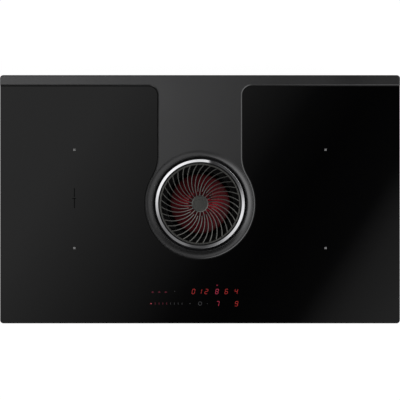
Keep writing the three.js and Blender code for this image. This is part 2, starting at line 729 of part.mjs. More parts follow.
// Extruded sink with upright fins along the air flow.
function heatSink() {
	const left = boardX + SINK_SETBACK;
	const base = boardTop + FIT;
	const pitch = HEAT_SINK_WIDTH / (HEAT_SINK_FINS - 0.5);
	const points = [[left, base], [left + HEAT_SINK_WIDTH, base]];
	for (let i = HEAT_SINK_FINS - 1; i >= 0; i--) {
		const x = left + i * pitch;
		points.push([x + pitch / 2, base + HEAT_SINK_HEIGHT], [x, base + HEAT_SINK_HEIGHT]);
		if (i > 0) points.push([x, base + 5], [x - pitch / 2, base + 5]);
	}
	const outline = points.map(([x, z]) => new THREE.Vector2(x, z));
	const length = BOARD_DEPTH - 2 * SINK_SETBACK;
	return plate(outline, 0, length).rotateX(Math.PI / 2).translate(0, boardY + SINK_SETBACK + length, 0);
}

// Square fan frame with its motor disc on four struts, about the fan's axis.
function fanFrame() {
	const half = FAN_SIZE / 2;
	const low = panFloor + FIT;
	const outline = roundedRectangle(-half, -half, half, half, 6, 2);
	const frame = plate(outline, low, low + FAN_HEIGHT, [circle(0, 0, FAN_TIP_RADIUS + 1.5, 20)]);
	const pieces = [frame, rod(0, 0, FAN_HUB_RADIUS, low, low + 4, 12)];
	for (let i = 0; i < 4; i++) {
		const strut = block(FAN_HUB_RADIUS - 1, -2, low, FAN_TIP_RADIUS + 2, 2, low + 3);
		pieces.push(strut.rotateZ(Math.PI / 4 + i * Math.PI / 2));
	}
	return join(...pieces);
}

function fanRotor() {
	const low = panFloor + FIT + 4 + FIT;
	const middle = low + FAN_HEIGHT / 2 - 3;
	const pieces = [rod(0, 0, FAN_HUB_RADIUS, low, low + FAN_HEIGHT - 7, 12)];
	for (let i = 0; i < FAN_BLADES; i++) {
		const blade = block(FAN_HUB_RADIUS - 1, -9, -0.7, FAN_TIP_RADIUS, 9, 0.7).rotateX(0.6);
		pieces.push(blade.translate(0, 0, middle).rotateZ(2 * Math.PI * i / FAN_BLADES));
	}
	return join(...pieces);
}

// Light guide between board and glass, with a window for each digit and one for the slider.
function displayGuide() {
	const halfX = TOUCH_WIDTH / 2;
	const halfY = TOUCH_DEPTH / 2;
	const window = (x0, x1, y, half) => {
		return block(x0, touchY + y - half, guideBottom - 1, x1, touchY + y + half, frameTop + 1);
	};
	const windows = FIRST_ROW_DIGITS.map((x) => window(x - 4, x + 4, ROW_OFFSET, 6.5));
	windows.push(...SECOND_ROW_DIGITS.map((x) => window(x - 4, x + 4, -ROW_OFFSET, 6.5)));
	windows.push(window(SLIDER_LEFT, SLIDER_LEFT + SLIDER_LENGTH, -ROW_OFFSET, 3));
	const outline = roundedRectangle(-halfX, touchY - halfY, halfX, touchY + halfY, 4, 3);
	return cut(plate(outline, guideBottom, frameTop), ...windows);
}

function touchBoard() {
	const halfX = TOUCH_WIDTH / 2;
	const halfY = TOUCH_DEPTH / 2;
	const top = guideBottom - FIT;
	const under = top - BOARD_THICKNESS;
	const pieces = [block(-halfX, touchY - halfY, under, halfX, touchY + halfY, top)];
	for (const x of [-CHIP_PITCH, 0, CHIP_PITCH]) {
		pieces.push(block(
			x - CHIP_WIDTH / 2, touchY - CHIP_DEPTH / 2, under - CHIP_HEIGHT,
			x + CHIP_WIDTH / 2, touchY + CHIP_DEPTH / 2, under + 0.5));
	}
	return join(...pieces);
}

// Moulded tray that presses the touch board and its guide up to the glass, on four legs.
function touchCarrier() {
	const halfX = TOUCH_WIDTH / 2 + FIT;
	const halfY = TOUCH_DEPTH / 2 + FIT;
	const boardUnder = guideBottom - FIT - BOARD_THICKNESS;
	const floor = boardUnder - FIT - CHIP_HEIGHT - FIT;
	const low = floor - CARRIER_WALL;
	const outer = block(
		-halfX - CARRIER_WALL, touchY - halfY - CARRIER_WALL, low,
		halfX + CARRIER_WALL, touchY + halfY + CARRIER_WALL, guideBottom + 2);
	const hollow = block(-halfX, touchY - halfY, floor, halfX, touchY + halfY, guideBottom + 3);
	const pieces = [cut(outer, hollow)];
	for (const x of [-halfX - 1, halfX - 9]) {
		pieces.push(block(x, touchY - halfY - 1, low, x + 10, touchY + halfY + 1, boardUnder - FIT));
	}
	for (const x of [-halfX + 8, halfX - 8]) {
		for (const y of [touchY - halfY + 8, touchY + halfY - 8]) {
			pieces.push(rod(x, y, 5, panFloor + FIT, low + 0.5, 6));
		}
	}
	return join(...pieces);
}

// Polished ring with a conical face down towards the grille, about the intake's axis.
function trimRing() {
	return revolve([
		[RING_INNER_RADIUS, ringBottom],
		[RING_OUTER_RADIUS, ringBottom],
		[RING_OUTER_RADIUS, ringTop - 0.5],
		[RING_OUTER_RADIUS - 0.5, ringTop],
		[RING_INNER_RADIUS + 0.4, ringTop - RING_CONE],
		[RING_INNER_RADIUS, ringTop - RING_CONE - 0.4],
	]);
}

// Stepped liner: flange under the ring, seats for the grille and the basket, tube into the extractor.
function wellLiner() {
	const flangeRadius = WELL_RADIUS - NOTCH_CLEARANCE;
	const panSeat = panFloor + FIT;
	const panFlangeRadius = tubeRadius + BODY_CLEARANCE + 12;
	const tubeEnd = panBottom - FIT - COLLAR_DEPTH - 2;
	return revolve([
		[seatBore, linerTop],
		[seatBore, grilleLedge],
		[linerBore, grilleLedge],
		[linerBore, basketLedge],
		[tubeBore, basketLedge],
		[tubeBore, tubeEnd],
		[tubeRadius, tubeEnd],
		[tubeRadius, panSeat],
		[panFlangeRadius, panSeat],
		[panFlangeRadius, panSeat + LINER_WALL],
		[tubeRadius, panSeat + LINER_WALL],
		[tubeRadius, basketLedge - LINER_WALL],
		[linerBore + LINER_WALL, basketLedge - LINER_WALL],
		[linerBore + LINER_WALL, grilleLedge - LINER_WALL],
		[seatBore + LINER_WALL, grilleLedge - LINER_WALL],
		[seatBore + LINER_WALL, linerTop - LINER_WALL],
		[flangeRadius, linerTop - LINER_WALL],
		[flangeRadius, linerTop],
	]);
}

// Angle by which a vane has fallen back clockwise at a radius.
function vaneSweep(radius) {
	const share = Math.max(0, radius - HUB_RADIUS) / (GRILLE_RADIUS - GRILLE_RIM_WIDTH - HUB_RADIUS);
	return VANE_SWEEP * share ** VANE_CURVE;
}

function vaneTop(radius) {
	return rimTop - VANE_RECESS + GRILLE_DOME * (1 - (radius / GRILLE_RADIUS) ** 2);
}

// One swept vane from a start radius out into the rim; the start is narrowed to a soft tip.
function vane(start, phase) {
	const end = GRILLE_RADIUS - GRILLE_RIM_WIDTH + 1;
	const vaneBottom = rimBottom + VANE_RECESS;
	const radii = [start, start + 1.5];
	const steps = 3;
	for (let i = 1; i <= steps; i++) radii.push(start + 1.5 + (end - start - 1.5) * i / steps);
	const pathPoint = (radius) => {
		const angle = phase - vaneSweep(radius);
		return new THREE.Vector2(radius * Math.cos(angle), radius * Math.sin(angle));
	};
	const loops = radii.map((radius, i) => {
		const point = pathPoint(radius);
		const along = pathPoint(radius + 0.1).sub(point).normalize();
		const across = new THREE.Vector2(-along.y, along.x);
		const narrowing = i === 0 ? 0.4 : 1;
		const corner = (offset, z) => {
			return new THREE.Vector3(point.x + across.x * offset, point.y + across.y * offset, z);
		};
		const low = VANE_BOTTOM_WIDTH / 2 * narrowing;
		const high = VANE_TOP_WIDTH / 2 * narrowing;
		const top = vaneTop(radius);
		return [corner(-low, vaneBottom), corner(low, vaneBottom), corner(high, top), corner(-high, top)];
	});
	return skin(loops, [[0, 1, 2], [0, 2, 3]]);
}

// Cast grille: rim, hub with its disc, and the swept vanes, every other one short.
function intakeGrille() {
	const inner = GRILLE_RADIUS - GRILLE_RIM_WIDTH;
	const hubTop = vaneTop(0) + VANE_RECESS;
	const rim = revolve([
		[inner, rimBottom],
		[GRILLE_RADIUS, rimBottom],
		[GRILLE_RADIUS, rimTop - 0.8],
		[GRILLE_RADIUS - 1, rimTop],
		[inner + 0.8, rimTop],
		[inner, rimTop - 0.6],
	]);
	const hub = revolve([
		[0, rimBottom],
		[HUB_RADIUS, rimBottom],
		[HUB_RADIUS, hubTop - 1.4],
		[HUB_RADIUS - HUB_CHAMFER, hubTop],
		[HUB_DISC_RADIUS, hubTop],
		[HUB_DISC_RADIUS, hubTop + 0.4],
		[0, hubTop + 0.4],
	], 24);
	const vanes = [];
	for (let i = 0; i < VANE_PAIRS; i++) {
		const phase = VANE_PHASE + 2 * Math.PI * i / VANE_PAIRS;
		vanes.push(vane(SHORT_VANE_RADIUS, phase));
		vanes.push(vane(HUB_RADIUS - 1, phase + Math.PI / VANE_PAIRS));
	}
	return join(rim, hub, ...vanes);
}

// Shallow bell that turns the air outwards; its boss is screwed on the basket's post.
function flowDeflector() {
	const top = deflectorTop;
	const edge = top - DEFLECTOR_FALL;
	const wall = DEFLECTOR_WALL;
	return revolve([
		[0, top - 8],
		[POST_RADIUS + 3, top - 8],
		[POST_RADIUS + 3, top - wall],
		[DEFLECTOR_CROWN_RADIUS - 1, top - wall],
		[DEFLECTOR_RADIUS - 4 - wall / 2, edge - wall],
		[DEFLECTOR_RADIUS - wall, edge - 8],
		[DEFLECTOR_RADIUS, edge - 8],
		[DEFLECTOR_RADIUS, edge - 3],
		[DEFLECTOR_RADIUS - 3, edge],
		[DEFLECTOR_CROWN_RADIUS, top],
		[0, top],
	]);
}

// Basket turned in one piece, with windows that leave bars round the filter, and a closed drip cup.
function filterBasket() {
	const inner = basketRadius - BASKET_WALL;
	const floor = basketBottom + BASKET_WALL;
	const body = revolve([
		[0, basketBottom],
		[basketRadius - 3, basketBottom],
		[basketRadius, basketBottom + 3],
		[basketRadius, basketLedge + FIT],
		[linerBore - GRILLE_CLEARANCE, basketLedge + FIT],
		[linerBore - GRILLE_CLEARANCE, basketRimTop],
		[inner, basketRimTop],
		[inner, cupTop],
		[inner - FILTER_WALL, cupTop],
		[inner, cupTop - 4],
		[inner, floor],
		[POST_RADIUS, floor],
		[POST_RADIUS, deflectorTop - 8 - FIT],
		[0, deflectorTop - 8 - FIT],
	]);
	const halfWindow = Math.PI * basketRadius / BASKET_BARS - BASKET_BAR_WIDTH / 2;
	const windows = [];
	for (let i = 0; i < BASKET_BARS; i++) {
		const tool = block(
			inner * 0.8, -halfWindow, cupTop + 3, basketRadius + 5, halfWindow, windowTop);
		windows.push(tool.rotateZ(2 * Math.PI * (i + 0.5) / BASKET_BARS));
	}
	return cut(body, ...windows);
}

// Drum of knitted aluminium mesh, as a plain tube.
function greaseFilter() {
	const outer = basketRadius - BASKET_WALL - FIT;
	const inner = outer - FILTER_WALL;
	const top = basketRimTop - 4;
	return plate(circle(0, 0, outer), cupTop + FIT, top, [circle(0, 0, inner)]);
}

function wellGasket() {
	const inner = tubeRadius + FIT;
	const top = panBottom - FIT - FIT;
	const low = panBottom - FIT - COLLAR_DEPTH + 2 + FIT;
	return plate(circle(0, 0, inner + GASKET_WIDTH), low, top, [circle(0, 0, inner)]);
}

// Scroll radius at a polar angle, growing from the tongue round to the outlet side.
function scrollRadius(angle) {
	return SCROLL_START + SCROLL_GROWTH * (angle - SCROLL_TONGUE) / (2 * Math.PI - SCROLL_TONGUE);
}

// Spiral wall about the blower's axis, moved out by offset; the outlet runs back to end.
function scrollOutline(offset, end) {
	const points = [
		new THREE.Vector2(channelRight + offset, end),
		new THREE.Vector2(channelLeft - offset, end),
		new THREE.Vector2(channelLeft - offset, Math.sin(SCROLL_TONGUE) * SCROLL_START),
	];
	const first = SCROLL_TONGUE + 0.2;
	const steps = 13;
	for (let i = 0; i <= steps; i++) {
		const angle = first + (2 * Math.PI - first) * i / steps;
		const radius = scrollRadius(angle) + offset;
		points.push(new THREE.Vector2(radius * Math.cos(angle), radius * Math.sin(angle)));
	}
	return points;
}

function scrollPlate(offset, low, high, end = scrollEnd) {
	return plate(scrollOutline(offset, end), low, high).translate(blowerX, blowerY, 0);
}

function chamberPlate(radius, low, high) {
	return rod(0, intakeY, radius, low, high, ROUND_STEPS);
}

// Moulded tub: filter chamber on its skirt, and the scroll beside it, both flanged on top.
function housingLower() {
	const chamberOuter = chamberRadius + MOULD_WALL;
	const grip = GRIP_WIDTH / 2;
	const chamber = cut(
		join(
			chamberPlate(chamberOuter, 0, chamberTop),
			chamberPlate(chamberOuter + FLANGE_WIDTH, chamberTop - MOULD_WALL, chamberTop)),
		chamberPlate(chamberRadius, chamberFloor + MOULD_WALL, chamberTop + 1),
		chamberPlate(chamberRadius, -1, chamberFloor),
		rod(0, intakeY, DRAIN_RADIUS, chamberFloor - 1, chamberFloor + MOULD_WALL + 1, 12),
		block(-grip, intakeY - chamberOuter - 5, -1, grip, intakeY + chamberOuter + 5, TRAY_HEIGHT * 0.7));
	const scroll = cut(
		join(
			scrollPlate(MOULD_WALL, 0, scrollTop),
			scrollPlate(MOULD_WALL + FLANGE_WIDTH, scrollTop - MOULD_WALL, scrollTop)),
		scrollPlate(0, MOULD_WALL, scrollTop + 1, scrollEnd + 10),
		chamberPlate(chamberRadius, -1, scrollTop + 1));
	return join(chamber, scroll);
}

// Outline of the air channel: a belt round the chamber and the blower's inlet, moved out by offset.
function channelOutline(offset) {
	const across = blowerY - intakeY;
	const along = Math.atan2(across, blowerX);
	const lean = Math.acos((chamberRadius - CHANNEL_END_RADIUS) / Math.hypot(blowerX, across));
	return [
		...arc(blowerX, blowerY, CHANNEL_END_RADIUS + offset, along - lean, along + lean, 9),
		...arc(0, intakeY, chamberRadius + offset, along + lean, along - lean + 2 * Math.PI, 12),
	];
}

// Moulded lid with a collar for the liner's tube.
function housingUpper() {
	const gasketRadius = tubeRadius + FIT + GASKET_WIDTH + FIT;
	const shell = cut(
		join(
			plate(channelOutline(MOULD_WALL), channelBottom, channelTop),
			plate(channelOutline(MOULD_WALL + FLANGE_WIDTH), channelBottom, channelBottom + MOULD_WALL)),
		plate(channelOutline(0), channelBottom - 1, channelTop - MOULD_WALL),
		rod(0, intakeY, gasketRadius + 1, channelTop - MOULD_WALL - 1, channelTop + 1, ROUND_STEPS));
	const low = channelTop - COLLAR_DEPTH;
	const collar = revolve([
		[tubeRadius + 2, low],
		[gasketRadius + MOULD_WALL, low],
		[gasketRadius + MOULD_WALL, channelTop],
		[gasketRadius, channelTop],
		[gasketRadius, low + 2],
		[tubeRadius + 2, low + 2],
	]);
	return join(shell, collar.translate(0, intakeY, 0));
}

// Cover of the scroll with the bell-mouth inlet over the impeller.
function dividerPlate() {
	const low = scrollTop + FIT;
	const cover = cut(
		scrollPlate(MOULD_WALL + FLANGE_WIDTH, low, chamberTop),
		chamberPlate(chamberRadius + MOULD_WALL + FLANGE_WIDTH + FIT, low - 1, chamberTop + 1),
		rod(blowerX, blowerY, INLET_RADIUS + INLET_LIP - 1, low - 1, chamberTop + 1, 32));
	const bell = revolve([
		[INLET_RADIUS, chamberTop - INLET_DEPTH],
		[INLET_RADIUS + INLET_WALL, chamberTop - INLET_DEPTH],
		[INLET_RADIUS + INLET_LIP / 2, low - 1],
		[INLET_RADIUS + INLET_LIP, low],
		[INLET_RADIUS + INLET_LIP, chamberTop],
		[INLET_RADIUS + INLET_LIP / 2 - 1, chamberTop - INLET_WALL],
	], 32);
	return join(cover, bell.translate(blowerX, blowerY, 0));
}

// Blade seen from above, raked forward, at the first blade's place.
function bladeOutline() {
	const rake = 0.1;
	const inner = IMPELLER_RADIUS - IMPELLER_BLADE_DEPTH + 0.8;
	const outer = IMPELLER_RADIUS - 0.8;
	const corner = (radius, angle) => new THREE.Vector2(radius * Math.cos(angle), radius * Math.sin(angle));
	const half = 0.8 / IMPELLER_RADIUS;
	return [corner(inner, -half), corner(outer, rake - half), corner(outer, rake + half), corner(inner, half)];
}

// Centrifugal wheel: domed back over the motor, blades, and the shroud ring at the inlet.
function impeller() {
	const dome = MOTOR_RADIUS + 4;
	const bore = SHAFT_RADIUS + FIT / 2;
	const low = impellerBottom;
	const hub = revolve([
		[bore, motorTop + 4],
		[dome - 5, motorTop + 4],
		[dome, motorTop - 4],
		[dome, low],
		[IMPELLER_RADIUS, low],
		[IMPELLER_RADIUS, low + 2.5],
		[dome + 2, low + 2.5],
		[dome + 2, motorTop - 3],
		[dome - 4, motorTop + 6.5],
		[bore + 6, motorTop + 6.5],
		[bore + 5, hubTop],
		[bore, hubTop],
	], 32);
	const eye = IMPELLER_RADIUS - IMPELLER_BLADE_DEPTH;
	const shroud = revolve([
		[eye, impellerTop - 2.5],
		[IMPELLER_RADIUS, impellerTop - 2.5],
		[IMPELLER_RADIUS, impellerTop],
		[eye, impellerTop],
	], 32);
	const blades = [];
	for (let i = 0; i < IMPELLER_BLADES; i++) {
		const blade = plate(bladeOutline(), low + 1, impellerTop - 1);
		blades.push(blade.rotateZ(2 * Math.PI * i / IMPELLER_BLADES));
	}
	return join(hub, shroud, ...blades);
}

// Motor on its flange, with the bore in which the shaft turns.
function blowerMotor() {
	const low = MOULD_WALL + FIT;
	const bore = SHAFT_RADIUS + FIT;
	return revolve([
		[0, low],
		[MOTOR_RADIUS + 8, low],
		[MOTOR_RADIUS + 8, low + 3],
		[MOTOR_RADIUS, low + 4],
		[MOTOR_RADIUS, motorTop - 3],
		[MOTOR_RADIUS - 3, motorTop],
		[bore, motorTop],
		[bore, motorTop - MOTOR_BORE_DEPTH],
		[0, motorTop - MOTOR_BORE_DEPTH],
	], 24);
}

function motorShaft() {
	return rod(0, 0, SHAFT_RADIUS, motorTop - MOTOR_BORE_DEPTH + FIT, hubTop - 1, 24);
}

// Catch tray under the drain of the filter chamber, about the intake's axis.
function liquidTray() {
	const radius = chamberRadius - TRAY_CLEARANCE;
	return revolve([
		[0, TRAY_GROUND_GAP],
		[radius - 3, TRAY_GROUND_GAP],
		[radius, TRAY_GROUND_GAP + 3],
		[radius, TRAY_GROUND_GAP + TRAY_HEIGHT],
		[radius - 2, TRAY_GROUND_GAP + TRAY_HEIGHT],
		[radius - 2, TRAY_GROUND_GAP + 2],
		[0, TRAY_GROUND_GAP + 2],
	]);
}

// Flanged collar for flat duct, with a stop rib and the pin holes of the flap.
function ductCollar() {
	const flangeHalf = (channelRight - channelLeft) / 2 + MOULD_WALL + FLANGE_WIDTH;
	const halfX = DUCT_WIDTH / 2;
	const halfZ = DUCT_HEIGHT / 2;
	const innerX = halfX - DUCT_WALL;
	const innerZ = halfZ - DUCT_WALL;
	const y0 = ductStart;
	const y1 = ductStart + DUCT_FLANGE;
	const [x, z] = [ductCentreX, ductCentreZ];
	const body = join(
		block(x - flangeHalf, y0, 0, x + flangeHalf, y1, chamberTop),
		block(x - halfX, y1 - 1, z - halfZ, x + halfX, y0 + DUCT_LENGTH, z + halfZ));
	const bore = block(x - innerX, y0 - 1, z - innerZ, x + innerX, y0 + DUCT_LENGTH + 1, z + innerZ);
	const pinHole = crossRod(x - halfX - 1, x + halfX + 1, flapPinY, flapPinZ, FLAP_PIN_RADIUS + FIT, 12);
	const rib = block(x - innerX - 1, flapPinY - 6, z - innerZ - 1, x + innerX + 1, flapPinY - 3, z - innerZ + 4);
	return join(cut(body, bore, pinHole), rib);
}

// Non-return flap that hangs from its pin and swings out with the air.
function outletFlap() {
	const half = DUCT_WIDTH / 2 - DUCT_WALL - 1.2;
	const x = ductCentreX;
	const low = ductCentreZ - DUCT_HEIGHT / 2 + DUCT_WALL + 1.2;
	const knuckle = crossRod(x - half, x + half, flapPinY, flapPinZ, FLAP_PIN_RADIUS + 2, 14);
	const bore = crossRod(x - half - 1, x + half + 1, flapPinY, flapPinZ, FLAP_PIN_RADIUS + FIT, 12);
	const sheet = block(
		x - half, flapPinY - FLAP_THICKNESS / 2, low, x + half, flapPinY + FLAP_THICKNESS / 2, flapPinZ - FLAP_PIN_RADIUS);
	const bead = block(x - half, flapPinY - 2, low, x + half, flapPinY + 2, low + 3);
	return cut(join(knuckle, sheet, bead), bore);
}

function flapPin() {
	const half = DUCT_WIDTH / 2 + 1;
	return crossRod(ductCentreX - half, ductCentreX + half, flapPinY, flapPinZ, FLAP_PIN_RADIUS, 12);
}

// Box for the mains terminals on the pan's underside, open downwards.
function terminalBox() {
	const [x1, y1] = [terminalX + TERMINAL_WIDTH, terminalY + TERMINAL_DEPTH];
	const low = channelTop - TERMINAL_HEIGHT;
	const wall = MOULD_WALL;
	const outer = plate(roundedRectangle(terminalX, terminalY, x1, y1, 6, 3), low, channelTop);
	const hollow = block(terminalX + wall, terminalY + wall, low - 1, x1 - wall, y1 - wall, channelTop - wall);
	const glandHole = depthRod(terminalX + TERMINAL_WIDTH / 2, glandZ, GLAND_RADIUS, y1 - 10, y1 + 5);
	return cut(outer, hollow, glandHole);
}

function terminalCover() {
	const [x1, y1] = [terminalX + TERMINAL_WIDTH, terminalY + TERMINAL_DEPTH];
	const top = channelTop - TERMINAL_HEIGHT - FIT;
	const outline = roundedRectangle(terminalX, terminalY, x1, y1, 6, 3);
	const raised = roundedRectangle(terminalX + 6, terminalY + 6, x1 - 6, y1 - 6, 4, 3);
	return join(plate(outline, top - MOULD_WALL, top), plate(raised, top - MOULD_WALL - 1.5, top - 1));
}

// Row of five screw terminals under the box's roof.
function terminalBlock() {
	const top = channelTop - MOULD_WALL - FIT;
	const x = terminalX + TERMINAL_WIDTH / 2;
	const y = terminalY + TERMINAL_DEPTH * 0.35;
	const low = top - TERMINAL_BLOCK_HEIGHT;
	const halfX = TERMINAL_PITCH * 2.5 + 3;
	const halfY = TERMINAL_BLOCK_DEPTH / 2;
	const body = block(x - halfX, y - halfY, low, x + halfX, y + halfY, top);
	const wells = [];
	for (let i = -2; i <= 2; i++) {
		wells.push(rod(x + i * TERMINAL_PITCH, y, TERMINAL_WELL_RADIUS, low - 1, low + TERMINAL_WELL_DEPTH, 8));
	}
	return cut(body, ...wells);
}

// Cable gland with its nut; the cable's way through it is open.
function cableGland() {
	const x = terminalX + TERMINAL_WIDTH / 2;
	const y = terminalY + TERMINAL_DEPTH;
	const threadEnd = y - GLAND_THREAD;
	const domeEnd = y + GLAND_NUT + GLAND_DOME;
	const thread = depthRod(x, glandZ, GLAND_RADIUS - FIT, threadEnd, y + 2);
	const nut = depthRod(x, glandZ, GLAND_RADIUS + GLAND_NUT_STEP, y + FIT, y + GLAND_NUT, 6);
	const dome = depthRod(x, glandZ, GLAND_RADIUS, y + GLAND_NUT - 1, domeEnd);
	return cut(join(thread, nut, dome), depthRod(x, glandZ, GLAND_BORE_RADIUS, threadEnd - 1, domeEnd + 1));
}

// Long screw of a clamp: head under the lower ear, shank up through the upper one.
function clampScrew() {
	const headTop = lowerEarTop - CLAMP_EAR - FIT;
	const head = rod(0, 0, CLAMP_STANDOFF - FIT, headTop - 4, headTop, 10);
	const shank = rod(0, 0, CLAMP_SCREW_RADIUS, headTop - 1, CLAMP_EAR_TOP + 2, 8);
	const slot = block(-CLAMP_STANDOFF, -0.6, headTop - 5, CLAMP_STANDOFF, 0.6, headTop - 2.5);
	return cut(join(head, shank), slot);
}

// Claw on the screw, its arm laid along the pan's wall.
function clampClaw() {
	const low = lowerEarTop + FIT;
	const top = low + CLAMP_HEIGHT;
	const sleeve = rod(0, 0, CLAMP_STANDOFF - FIT, low, top, 10);
	const arm = block(-2.6, 0, low + 3, 2.6, CLAMP_ARM, top);
	const tooth = block(-2.6, CLAMP_ARM - 6, top - 1, 2.6, CLAMP_ARM, top + 2);
	const bore = rod(0, 0, CLAMP_SCREW_RADIUS + FIT, low - 1, top + 1, 8);
	return cut(join(sleeve, arm, tooth), bore);
}

function addGroup(parent, x, y, z) {
	const group = new THREE.Group();
	group.position.set(x, y, z);
	parent.add(group);
	return group;
}

function add(parent, name, geometry, material) {
	const mesh = new THREE.Mesh(geometry, material);
	mesh.name = name;
	parent.add(mesh);
}

// Hob: everything here is counted from the worktop's top face.
const cooktop = new THREE.Group();
const hob = addGroup(cooktop, 0, 0, UNDER_WORKTOP);
add(hob, 'glass_top', glassTop(), materials.glass);
add(hob, 'surround', surround(), materials.castGrey);
add(hob, 'worktop_seal', worktopSeal(), materials.rubber);
add(hob, 'glass_frame', glassFrame(), materials.zinc);
add(hob, 'base_pan', basePan(), materials.zinc);
add(hob, 'centre_frame', centreFrame(), materials.zinc);
add(hob, 'display_guide', displayGuide(), materials.plastic);
add(hob, 'touch_board', touchBoard(), materials.board);
add(hob, 'touch_carrier', touchCarrier(), materials.mould);

for (const [label, side] of [['left', -1], ['right', 1]]) {
	const pair = addGroup(hob, side * zoneX, zoneMiddleY, 0);
	add(hob, `coil_tray_${label}`, coilTray(side), materials.aluminium);
	add(pair, `mica_sheet_${label}`, micaSheet(), materials.mica);
	for (const [row, y] of [['front', -ZONE_PITCH / 2], ['rear', ZONE_PITCH / 2]]) {
		const zone = addGroup(pair, 0, y, 0);
		add(zone, `coil_winding_${row}_${label}`, coilWinding(), materials.copper);
		add(zone, `coil_base_${row}_${label}`, coilBase(), materials.aluminium);
	}
	const bay = addGroup(hob, side < 0 ? leftShift : 0, 0, 0);
	add(bay, `power_board_${label}`, powerBoard(), materials.board);
	add(bay, `heat_sink_${label}`, heatSink(), materials.aluminium);
	const fan = addGroup(bay, fanX, fanY, 0);
	add(fan, `fan_frame_${label}`, fanFrame(), materials.mould);
	add(fan, `fan_rotor_${label}`, fanRotor(), materials.mould);
	for (const [row, y] of [['front', -CLAMP_FROM_MIDDLE], ['rear', CLAMP_FROM_MIDDLE]]) {
		const clamp = addGroup(hob, side * clampX, y, 0);
		clamp.rotation.z = side < 0 ? Math.PI : 0;
		add(clamp, `clamp_screw_${row}_${label}`, clampScrew(), materials.steel);
		add(clamp, `clamp_claw_${row}_${label}`, clampClaw(), materials.zinc);
	}
}

// Intake, about the axis of the well.
const intake = addGroup(hob, 0, intakeY, 0);
add(intake, 'trim_ring', trimRing(), materials.polished);
add(intake, 'well_liner', wellLiner(), materials.mould);
add(intake, 'well_gasket', wellGasket(), materials.rubber);
add(intake, 'intake_grille', intakeGrille(), materials.grille);
add(intake, 'flow_deflector', flowDeflector(), materials.red);
add(intake, 'filter_basket', filterBasket(), materials.blackCoat);
add(intake, 'grease_filter', greaseFilter(), materials.aluminium);

// Extractor: everything here is counted from its base.
add(cooktop, 'housing_upper', housingUpper(), materials.mould);
add(cooktop, 'housing_lower', housingLower(), materials.mould);
add(cooktop, 'divider_plate', dividerPlate(), materials.mould);
add(cooktop, 'duct_collar', ductCollar(), materials.mould);
add(cooktop, 'outlet_flap', outletFlap(), materials.plastic);
add(cooktop, 'flap_pin', flapPin(), materials.steel);
add(cooktop, 'terminal_box', terminalBox(), materials.mould);
add(cooktop, 'terminal_cover', terminalCover(), materials.mould);
add(cooktop, 'terminal_block', terminalBlock(), materials.plastic);
add(cooktop, 'cable_gland', cableGland(), materials.mould);
const sump = addGroup(cooktop, 0, intakeY, 0);
add(sump, 'liquid_tray', liquidTray(), materials.mould);
const blower = addGroup(cooktop, blowerX, blowerY, 0);
add(blower, 'impeller', impeller(), materials.mould);
add(blower, 'blower_motor', blowerMotor(), materials.steel);
add(blower, 'motor_shaft', motorShaft(), materials.steel);

export default cooktop;
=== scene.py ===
"""Downdraft induction cooktop, seen from straight above on white.

Metres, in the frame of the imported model: X to the right, Y to the back, Z up.
"""

import json
import math
from collections import Counter

import bpy
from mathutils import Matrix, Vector


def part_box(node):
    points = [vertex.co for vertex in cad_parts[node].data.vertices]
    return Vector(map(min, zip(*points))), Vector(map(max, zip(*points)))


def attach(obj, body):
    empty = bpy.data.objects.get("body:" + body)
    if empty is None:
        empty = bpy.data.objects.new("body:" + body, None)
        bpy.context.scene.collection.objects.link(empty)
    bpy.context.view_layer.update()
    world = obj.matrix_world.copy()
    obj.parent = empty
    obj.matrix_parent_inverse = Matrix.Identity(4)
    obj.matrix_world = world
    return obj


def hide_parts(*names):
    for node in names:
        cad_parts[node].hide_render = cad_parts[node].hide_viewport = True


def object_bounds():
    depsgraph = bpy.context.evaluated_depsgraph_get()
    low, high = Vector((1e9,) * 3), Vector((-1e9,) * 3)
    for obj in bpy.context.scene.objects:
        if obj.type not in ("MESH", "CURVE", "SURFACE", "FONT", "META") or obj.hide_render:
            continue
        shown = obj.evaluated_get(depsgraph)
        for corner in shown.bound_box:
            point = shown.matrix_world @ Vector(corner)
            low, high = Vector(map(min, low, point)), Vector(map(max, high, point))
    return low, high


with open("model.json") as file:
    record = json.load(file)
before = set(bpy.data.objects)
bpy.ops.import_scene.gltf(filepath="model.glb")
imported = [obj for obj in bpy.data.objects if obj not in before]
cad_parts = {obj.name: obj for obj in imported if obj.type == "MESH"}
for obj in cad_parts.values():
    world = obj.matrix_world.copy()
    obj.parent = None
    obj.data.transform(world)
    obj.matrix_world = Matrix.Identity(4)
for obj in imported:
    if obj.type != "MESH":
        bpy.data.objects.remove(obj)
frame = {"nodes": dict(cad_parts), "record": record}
cad_low, cad_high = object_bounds()
scene = bpy.context.scene
scene.view_settings.view_transform = "Standard"
MM = 0.001


# Camera: it hangs straight above the middle of the hob, far enough away that the rim and the well
# show hardly any depth. The hob fills the picture's width and lies a hair above its middle.
lens_length = 120.0
sensor_width = 36.0
seen_width = 829.2 * MM
hob_above_middle = 1.4 * MM
far_clip = 50
camera_height = cad_high.z + seen_width * lens_length / sensor_width
bpy.ops.object.camera_add(location=(0, -hob_above_middle, camera_height), rotation=(0, 0, 0))
camera = bpy.context.object
camera.data.lens = lens_length
camera.data.sensor_width = sensor_width
camera.data.clip_end = far_clip
scene.camera = camera


# Floor: a pale studio floor under the extractor. It is white to the eye, with a faint shadow.
floor_size = 12.0
floor_drop = 1 * MM
floor_shade = (0.8, 0.8, 0.8, 1)
floor_glow = 0.9
floor_white_level = 1.08


def set_inputs(tree, node, inputs):
    """Fills inputs of a node: a number or colour is set, another node's output is linked."""
    for label, value in inputs.items():
        if isinstance(value, bpy.types.NodeSocket):
            tree.links.new(value, node.inputs[label])
        else:
            node.inputs[label].default_value = value


